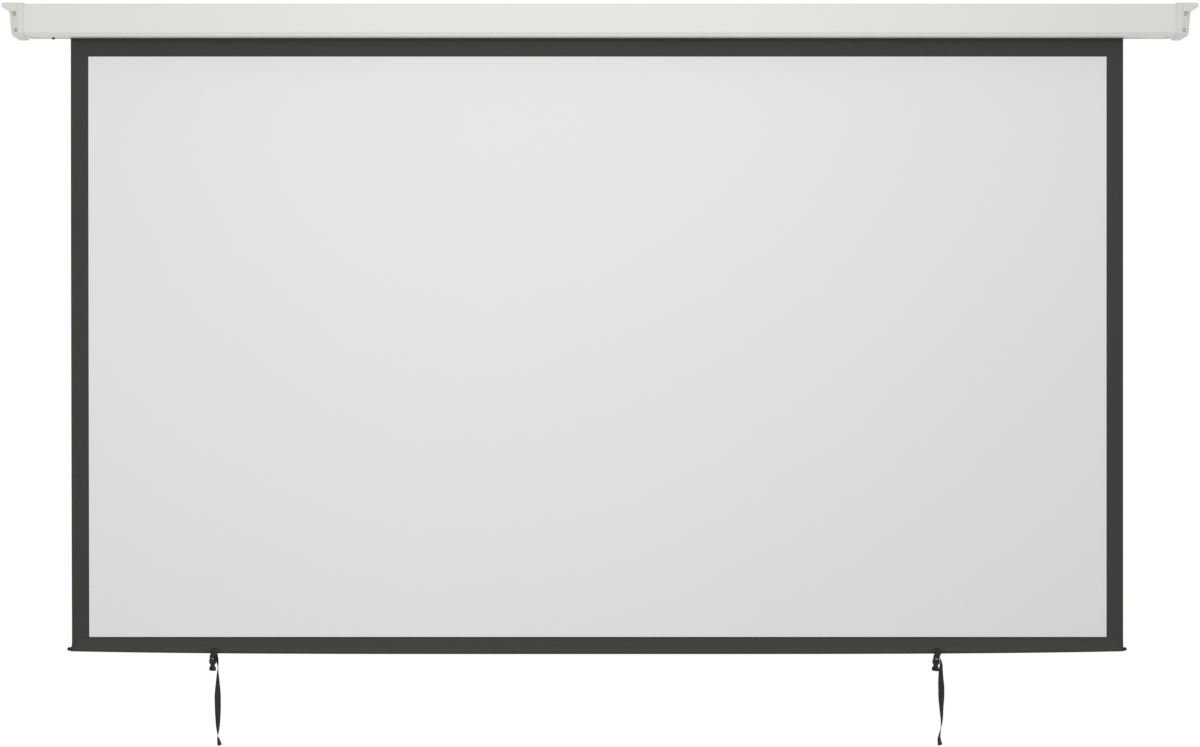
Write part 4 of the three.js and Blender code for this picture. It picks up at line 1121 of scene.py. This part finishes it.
def powder_coat(name, colour):
    shader = material(name)
    point = place(shader)
    peel = noise(shader, point, PEEL_PER_METRE, 2)
    cloud = noise(shader, point, CLOUDS_PER_METRE, 4)
    dust = noise(shader, stretched(shader, point, (1, 4, 4)), DUST_PER_METRE, 5)
    edge_light = edge_highlight_mask(shader, PAINT_EDGE_HIGHLIGHT)
    tone = 0.6 * cloud + 0.2 * dust + 0.2 * peel
    mixed = blend(shader, tone, shade(colour, 0.985), shade(colour, 1.012))
    # The edges are painted lighter: a painted highlight.
    final = blend(shader, edge_light * 0.35, mixed, shade(colour, 1.04))
    shader.set(
        "Principled BSDF",
        {
            "Base Color": final,
            "Roughness": 0.44 + 0.05 * (dust - 0.5) - 0.05 * edge_light,
            "Specular IOR Level": 0.45,
            "Normal": bump(shader, peel, 0.03 * MM),
        },
    )
    return shader.owner


CASING_WHITE = (0.740, 0.747, 0.710)
CAP_WHITE = (0.700, 0.707, 0.668)
paint = powder_coat("painted_metal", CASING_WHITE)
white_plastic = plastic("white_plastic", CAP_WHITE, 0.5, 1900, 0.02 * MM, 0.012)
grey_plastic = plastic("grey_plastic", (0.16, 0.165, 0.17), 0.45, 1200, 0.03 * MM, 0.1)
red_plastic = plastic("red_plastic", (0.45, 0.03, 0.025), 0.4, 1500, 0.02 * MM, 0.1)
yellow_plastic = plastic("yellow_plastic", (0.70, 0.45, 0.04), 0.4, 1500, 0.02 * MM, 0.1)
print("paint and plastics ready")

# %% [markdown]
# ## Metals
# Zinc shows as large soft crystals, called spangle.
# Turned or drawn metal has fine lines along its length.

# %% Metals
CRYSTALS_PER_METRE = 130
GRIT_PER_METRE = 2400
MARKS_PER_METRE = 60
ZINC_EDGE_HIGHLIGHT = 0.5 * MM
DRAWN_EDGE_HIGHLIGHT = 0.4 * MM


def spangled(name, colour):
    shader = material(name)
    point = place(shader)
    crystal = shader.node(
        "ShaderNodeTexVoronoi", None, {"Vector": point, "Scale": CRYSTALS_PER_METRE}, out="Color"
    )
    grey = shader.node("ShaderNodeRGBToBW", None, {"Color": crystal})
    fine = noise(shader, point, GRIT_PER_METRE, 2)
    edge_light = edge_highlight_mask(shader, ZINC_EDGE_HIGHLIGHT)
    # The crystals' tone is mixed with a painted highlight along the edges.
    mixed = blend(shader, grey * 0.7 + edge_light * 0.3, shade(colour, 0.82), shade(colour, 1.1))
    shader.set(
        "Principled BSDF",
        {
            "Base Color": mixed,
            "Metallic": 1.0,
            "Roughness": 0.34 + 0.16 * grey + 0.06 * fine,
            "Normal": bump(shader, grey + 0.3 * fine, 0.01 * MM),
        },
    )
    return shader.owner


def drawn(name, colour, roughness, factors, metallic=1.0):
    shader = material(name)
    point = stretched(shader, place(shader), factors)
    lines, blotch = noise(shader, point, 1, 4), noise(shader, place(shader), MARKS_PER_METRE, 3)
    edge_light = edge_highlight_mask(shader, DRAWN_EDGE_HIGHLIGHT)
    # The edge share of the tone is a painted highlight.
    tone = 0.4 * lines + 0.4 * blotch + 0.2 * edge_light
    shader.set(
        "Principled BSDF",
        {
            "Base Color": blend(shader, tone, shade(colour, 0.8), shade(colour, 1.1)),
            "Metallic": metallic,
            "Roughness": roughness + 0.14 * (lines - 0.5) + 0.08 * (blotch - 0.5),
            "Normal": bump(shader, lines, 0.01 * MM),
        },
    )
    return shader.owner


zinc = spangled("zinc_steel", (0.58, 0.59, 0.60))
nickel = drawn("nickel_steel", (0.56, 0.55, 0.53), 0.2, (900, 900, 6000))
bronze = drawn("bronze", (0.52, 0.33, 0.15), 0.38, (200, 5000, 5000))
motor_paint = drawn("motor_paint", (0.05, 0.052, 0.055), 0.5, (60, 900, 900), 0.0)
print("metals ready")

# %% [markdown]
# ## Softer edges
# CAD edges are perfectly sharp, and real ones never are.
# The first node group welds the corners and drops the stored normals,
# then a bevel rounds each edge a little.
# The last group makes gentle turns look round and keeps the true edges crisp.
# Weighted normals then keep each large face flat, so that only the rounded edges shade.

# %% Edge modifiers
WELD_DISTANCE = 0.01 * MM


def geometry_group(name):
    group = bpy.data.node_groups.new(name, "GeometryNodeTree")
    group.interface.new_socket("Geometry", in_out="INPUT", socket_type="NodeSocketGeometry")
    group.interface.new_socket("Geometry", in_out="OUTPUT", socket_type="NodeSocketGeometry")
    return group


def chain(group, *made):
    """Links the group's input, the nodes and the group's output in a row."""
    row = [group.nodes.new("NodeGroupInput"), *made, group.nodes.new("NodeGroupOutput")]
    for a, b in zip(row, row[1:]):
        group.links.new(a.outputs[0], b.inputs[0])


def weld_group():
    group = geometry_group("weld_corners")
    drop = group.nodes.new("GeometryNodeRemoveAttribute")
    drop.inputs["Name"].default_value = "custom_normal"
    merge = group.nodes.new("GeometryNodeMergeByDistance")
    merge.inputs["Distance"].default_value = WELD_DISTANCE
    chain(group, drop, merge)
    return group


def smooth_group():
    group = geometry_group("smooth_by_angle")
    angle = group.nodes.new("GeometryNodeInputMeshEdgeAngle")
    sharp = group.nodes.new("FunctionNodeCompare")
    sharp.operation = "GREATER_THAN"
    sharp.inputs[1].default_value = SHARP_ANGLE
    faces = group.nodes.new("GeometryNodeSetShadeSmooth")
    edges = group.nodes.new("GeometryNodeSetShadeSmooth")
    edges.domain = "EDGE"
    edges.inputs["Shade Smooth"].default_value = False
    group.links.new(angle.outputs[0], sharp.inputs[0])
    group.links.new(sharp.outputs[0], edges.inputs["Selection"])
    chain(group, faces, edges)
    return group


weld, smooth = weld_group(), smooth_group()
print("node groups:", weld.name, smooth.name)

# %% [markdown]
# ## Dressing the CAD nodes
# Each finish lists how round its edges are in millimetres, the least turn that is an edge in degrees,
# and its CAD nodes.
# The caps' facets turn by only thirty degrees, so their limit is lower.

# %% Finishes on the CAD nodes
EDGE_TURN = 33
CAP_TURN = 24
FINISHES = (
    (paint, 0.35, EDGE_TURN, "casing"),
    (white_plastic, 0.7, CAP_TURN, "end_cap_left end_cap_right"),
    (zinc, 0.25, EDGE_TURN, "motor_bracket idler_bracket roller_tube weight_bar"),
    (
        nickel,
        0.2,
        EDGE_TURN,
        "cap_screw_left_upper cap_screw_left_lower cap_screw_right_upper"
        " cap_screw_right_lower motor_screw_upper motor_screw_lower idler_pin motor_shaft",
    ),
    (
        black_plastic,
        0.3,
        EDGE_TURN,
        "cable_gland bar_plug_left bar_plug_right buckle_left_socket buckle_left_plug"
        " buckle_right_socket buckle_right_plug",
    ),
    (grey_plastic, 0.3, EDGE_TURN, "motor_head crown_ring drive_wheel idler_plug fabric_spline"),
    (motor_paint, 0.3, EDGE_TURN, "motor_tube"),
    (bronze, 0.3, EDGE_TURN, "idler_bush"),
    (red_plastic, 0.2, EDGE_TURN, "limit_screw_up"),
    (yellow_plastic, 0.2, EDGE_TURN, "limit_screw_down"),
)


def soften(node, radius, least_turn):
    node.modifiers.new("weld", "NODES").node_group = weld
    rounding = node.modifiers.new("bevel", "BEVEL")
    rounding.width = radius
    rounding.segments = BEVEL_SEGMENTS
    rounding.limit_method = "ANGLE"
    rounding.angle_limit = math.radians(least_turn)
    node.modifiers.new("smooth", "NODES").node_group = smooth
    node.modifiers.new("flat_faces", "WEIGHTED_NORMAL").keep_sharp = True


dressed = set()
for look, radius, least_turn, names in FINISHES:
    for name in names.split():
        nodes[name].data.materials.clear()
        nodes[name].data.materials.append(look)
        soften(nodes[name], radius * MM, least_turn)
        dressed.add(name)
print("dressed", len(dressed), "CAD nodes")

# %% [markdown]
# ## Light
# The photograph has very even light, a little brighter in the middle and on the left.
# So the world gives most of it, and two lamps in front give the rest.
# The strip lamp is wide and stands higher than the casing.
# Its reflection gives the paint its shine.
# The camera sees a plain white world, and the world lights surfaces a little less than that.

# %% World and lamps
AMBIENT = 0.75
SOFT_SHARE = 0.15
SOFT_AT = Vector((-0.46, -2.35, -0.56))
SOFT_SIZE = (0.9, 0.9)
STRIP_SHARE = 0.19
STRIP_AT = Vector((0.06, -1.75, 0.24))
STRIP_SIZE = (1.8, 0.24)

world = bpy.data.worlds.new("world")
bpy.context.scene.world = world
sky = Shader(world)
straight = sky.node("ShaderNodeLightPath", out="Is Camera Ray")
for ray in ("Is Glossy Ray", "Is Transmission Ray"):
    straight = straight.maths("MAXIMUM", straight, sky.node("ShaderNodeLightPath", out=ray))
sky.set("Background", {"Color": (1, 1, 1, 1), "Strength": AMBIENT + (1 - AMBIENT) * straight})


def soft_lamp(name, at, size, share):
    """A lamp that gives the cloth in front of it this share of a white world's light."""
    data = bpy.data.lights.new(name, "AREA")
    data.shape = "RECTANGLE"
    data.size, data.size_y = size
    data.energy = share * (math.pi * (FABRIC_Y - at.y)) ** 2
    lamp = bpy.data.objects.new(name, data)
    lamp.location = at
    lamp.rotation_euler = TOWARDS_WALL
    lamp.visible_camera = False
    bpy.context.scene.collection.objects.link(lamp)
    return lamp


soft = soft_lamp("soft_lamp", SOFT_AT, SOFT_SIZE, SOFT_SHARE)
soft.visible_glossy = False
strip = soft_lamp("strip_lamp", STRIP_AT, STRIP_SIZE, STRIP_SHARE)
print("lamps of", round(soft.data.energy, 1), "and", round(strip.data.energy, 1), "W")

# %% [markdown]
# ## Floor
# A plain pale floor lies under the screen, out of the camera's view, and takes its shadow.

# %% Floor
FLOOR_HEIGHT = -1.72
FLOOR_FRONT = -1.7
FLOOR_BACK = 1.2
FLOOR_HALF = 4.5
GRAIN_PER_METRE = 40
FLOOR_DARK = (0.80, 0.80, 0.79)
FLOOR_LIGHT = (0.84, 0.84, 0.83)

floor_look = material("pale_floor")
grain = noise(floor_look, place(floor_look), GRAIN_PER_METRE, 4)
floor_look.set(
    "Principled BSDF",
    {
        "Base Color": blend(floor_look, grain, FLOOR_DARK, FLOOR_LIGHT),
        "Roughness": 0.8,
        "Specular IOR Level": 0.1,
    },
)
floor_mesh = bpy.data.meshes.new("floor")
floor_corners = [
    (-FLOOR_HALF, FLOOR_FRONT, FLOOR_HEIGHT),
    (FLOOR_HALF, FLOOR_FRONT, FLOOR_HEIGHT),
    (FLOOR_HALF, FLOOR_BACK, FLOOR_HEIGHT),
    (-FLOOR_HALF, FLOOR_BACK, FLOOR_HEIGHT),
]
floor_mesh.from_pydata(floor_corners, [], [(0, 1, 2, 3)])
floor_mesh.materials.append(floor_look.owner)
floor = bpy.data.objects.new("floor", floor_mesh)
bpy.context.scene.collection.objects.link(floor)

bpy.context.scene.view_settings.view_transform = "Standard"
print("floor at", FLOOR_HEIGHT)
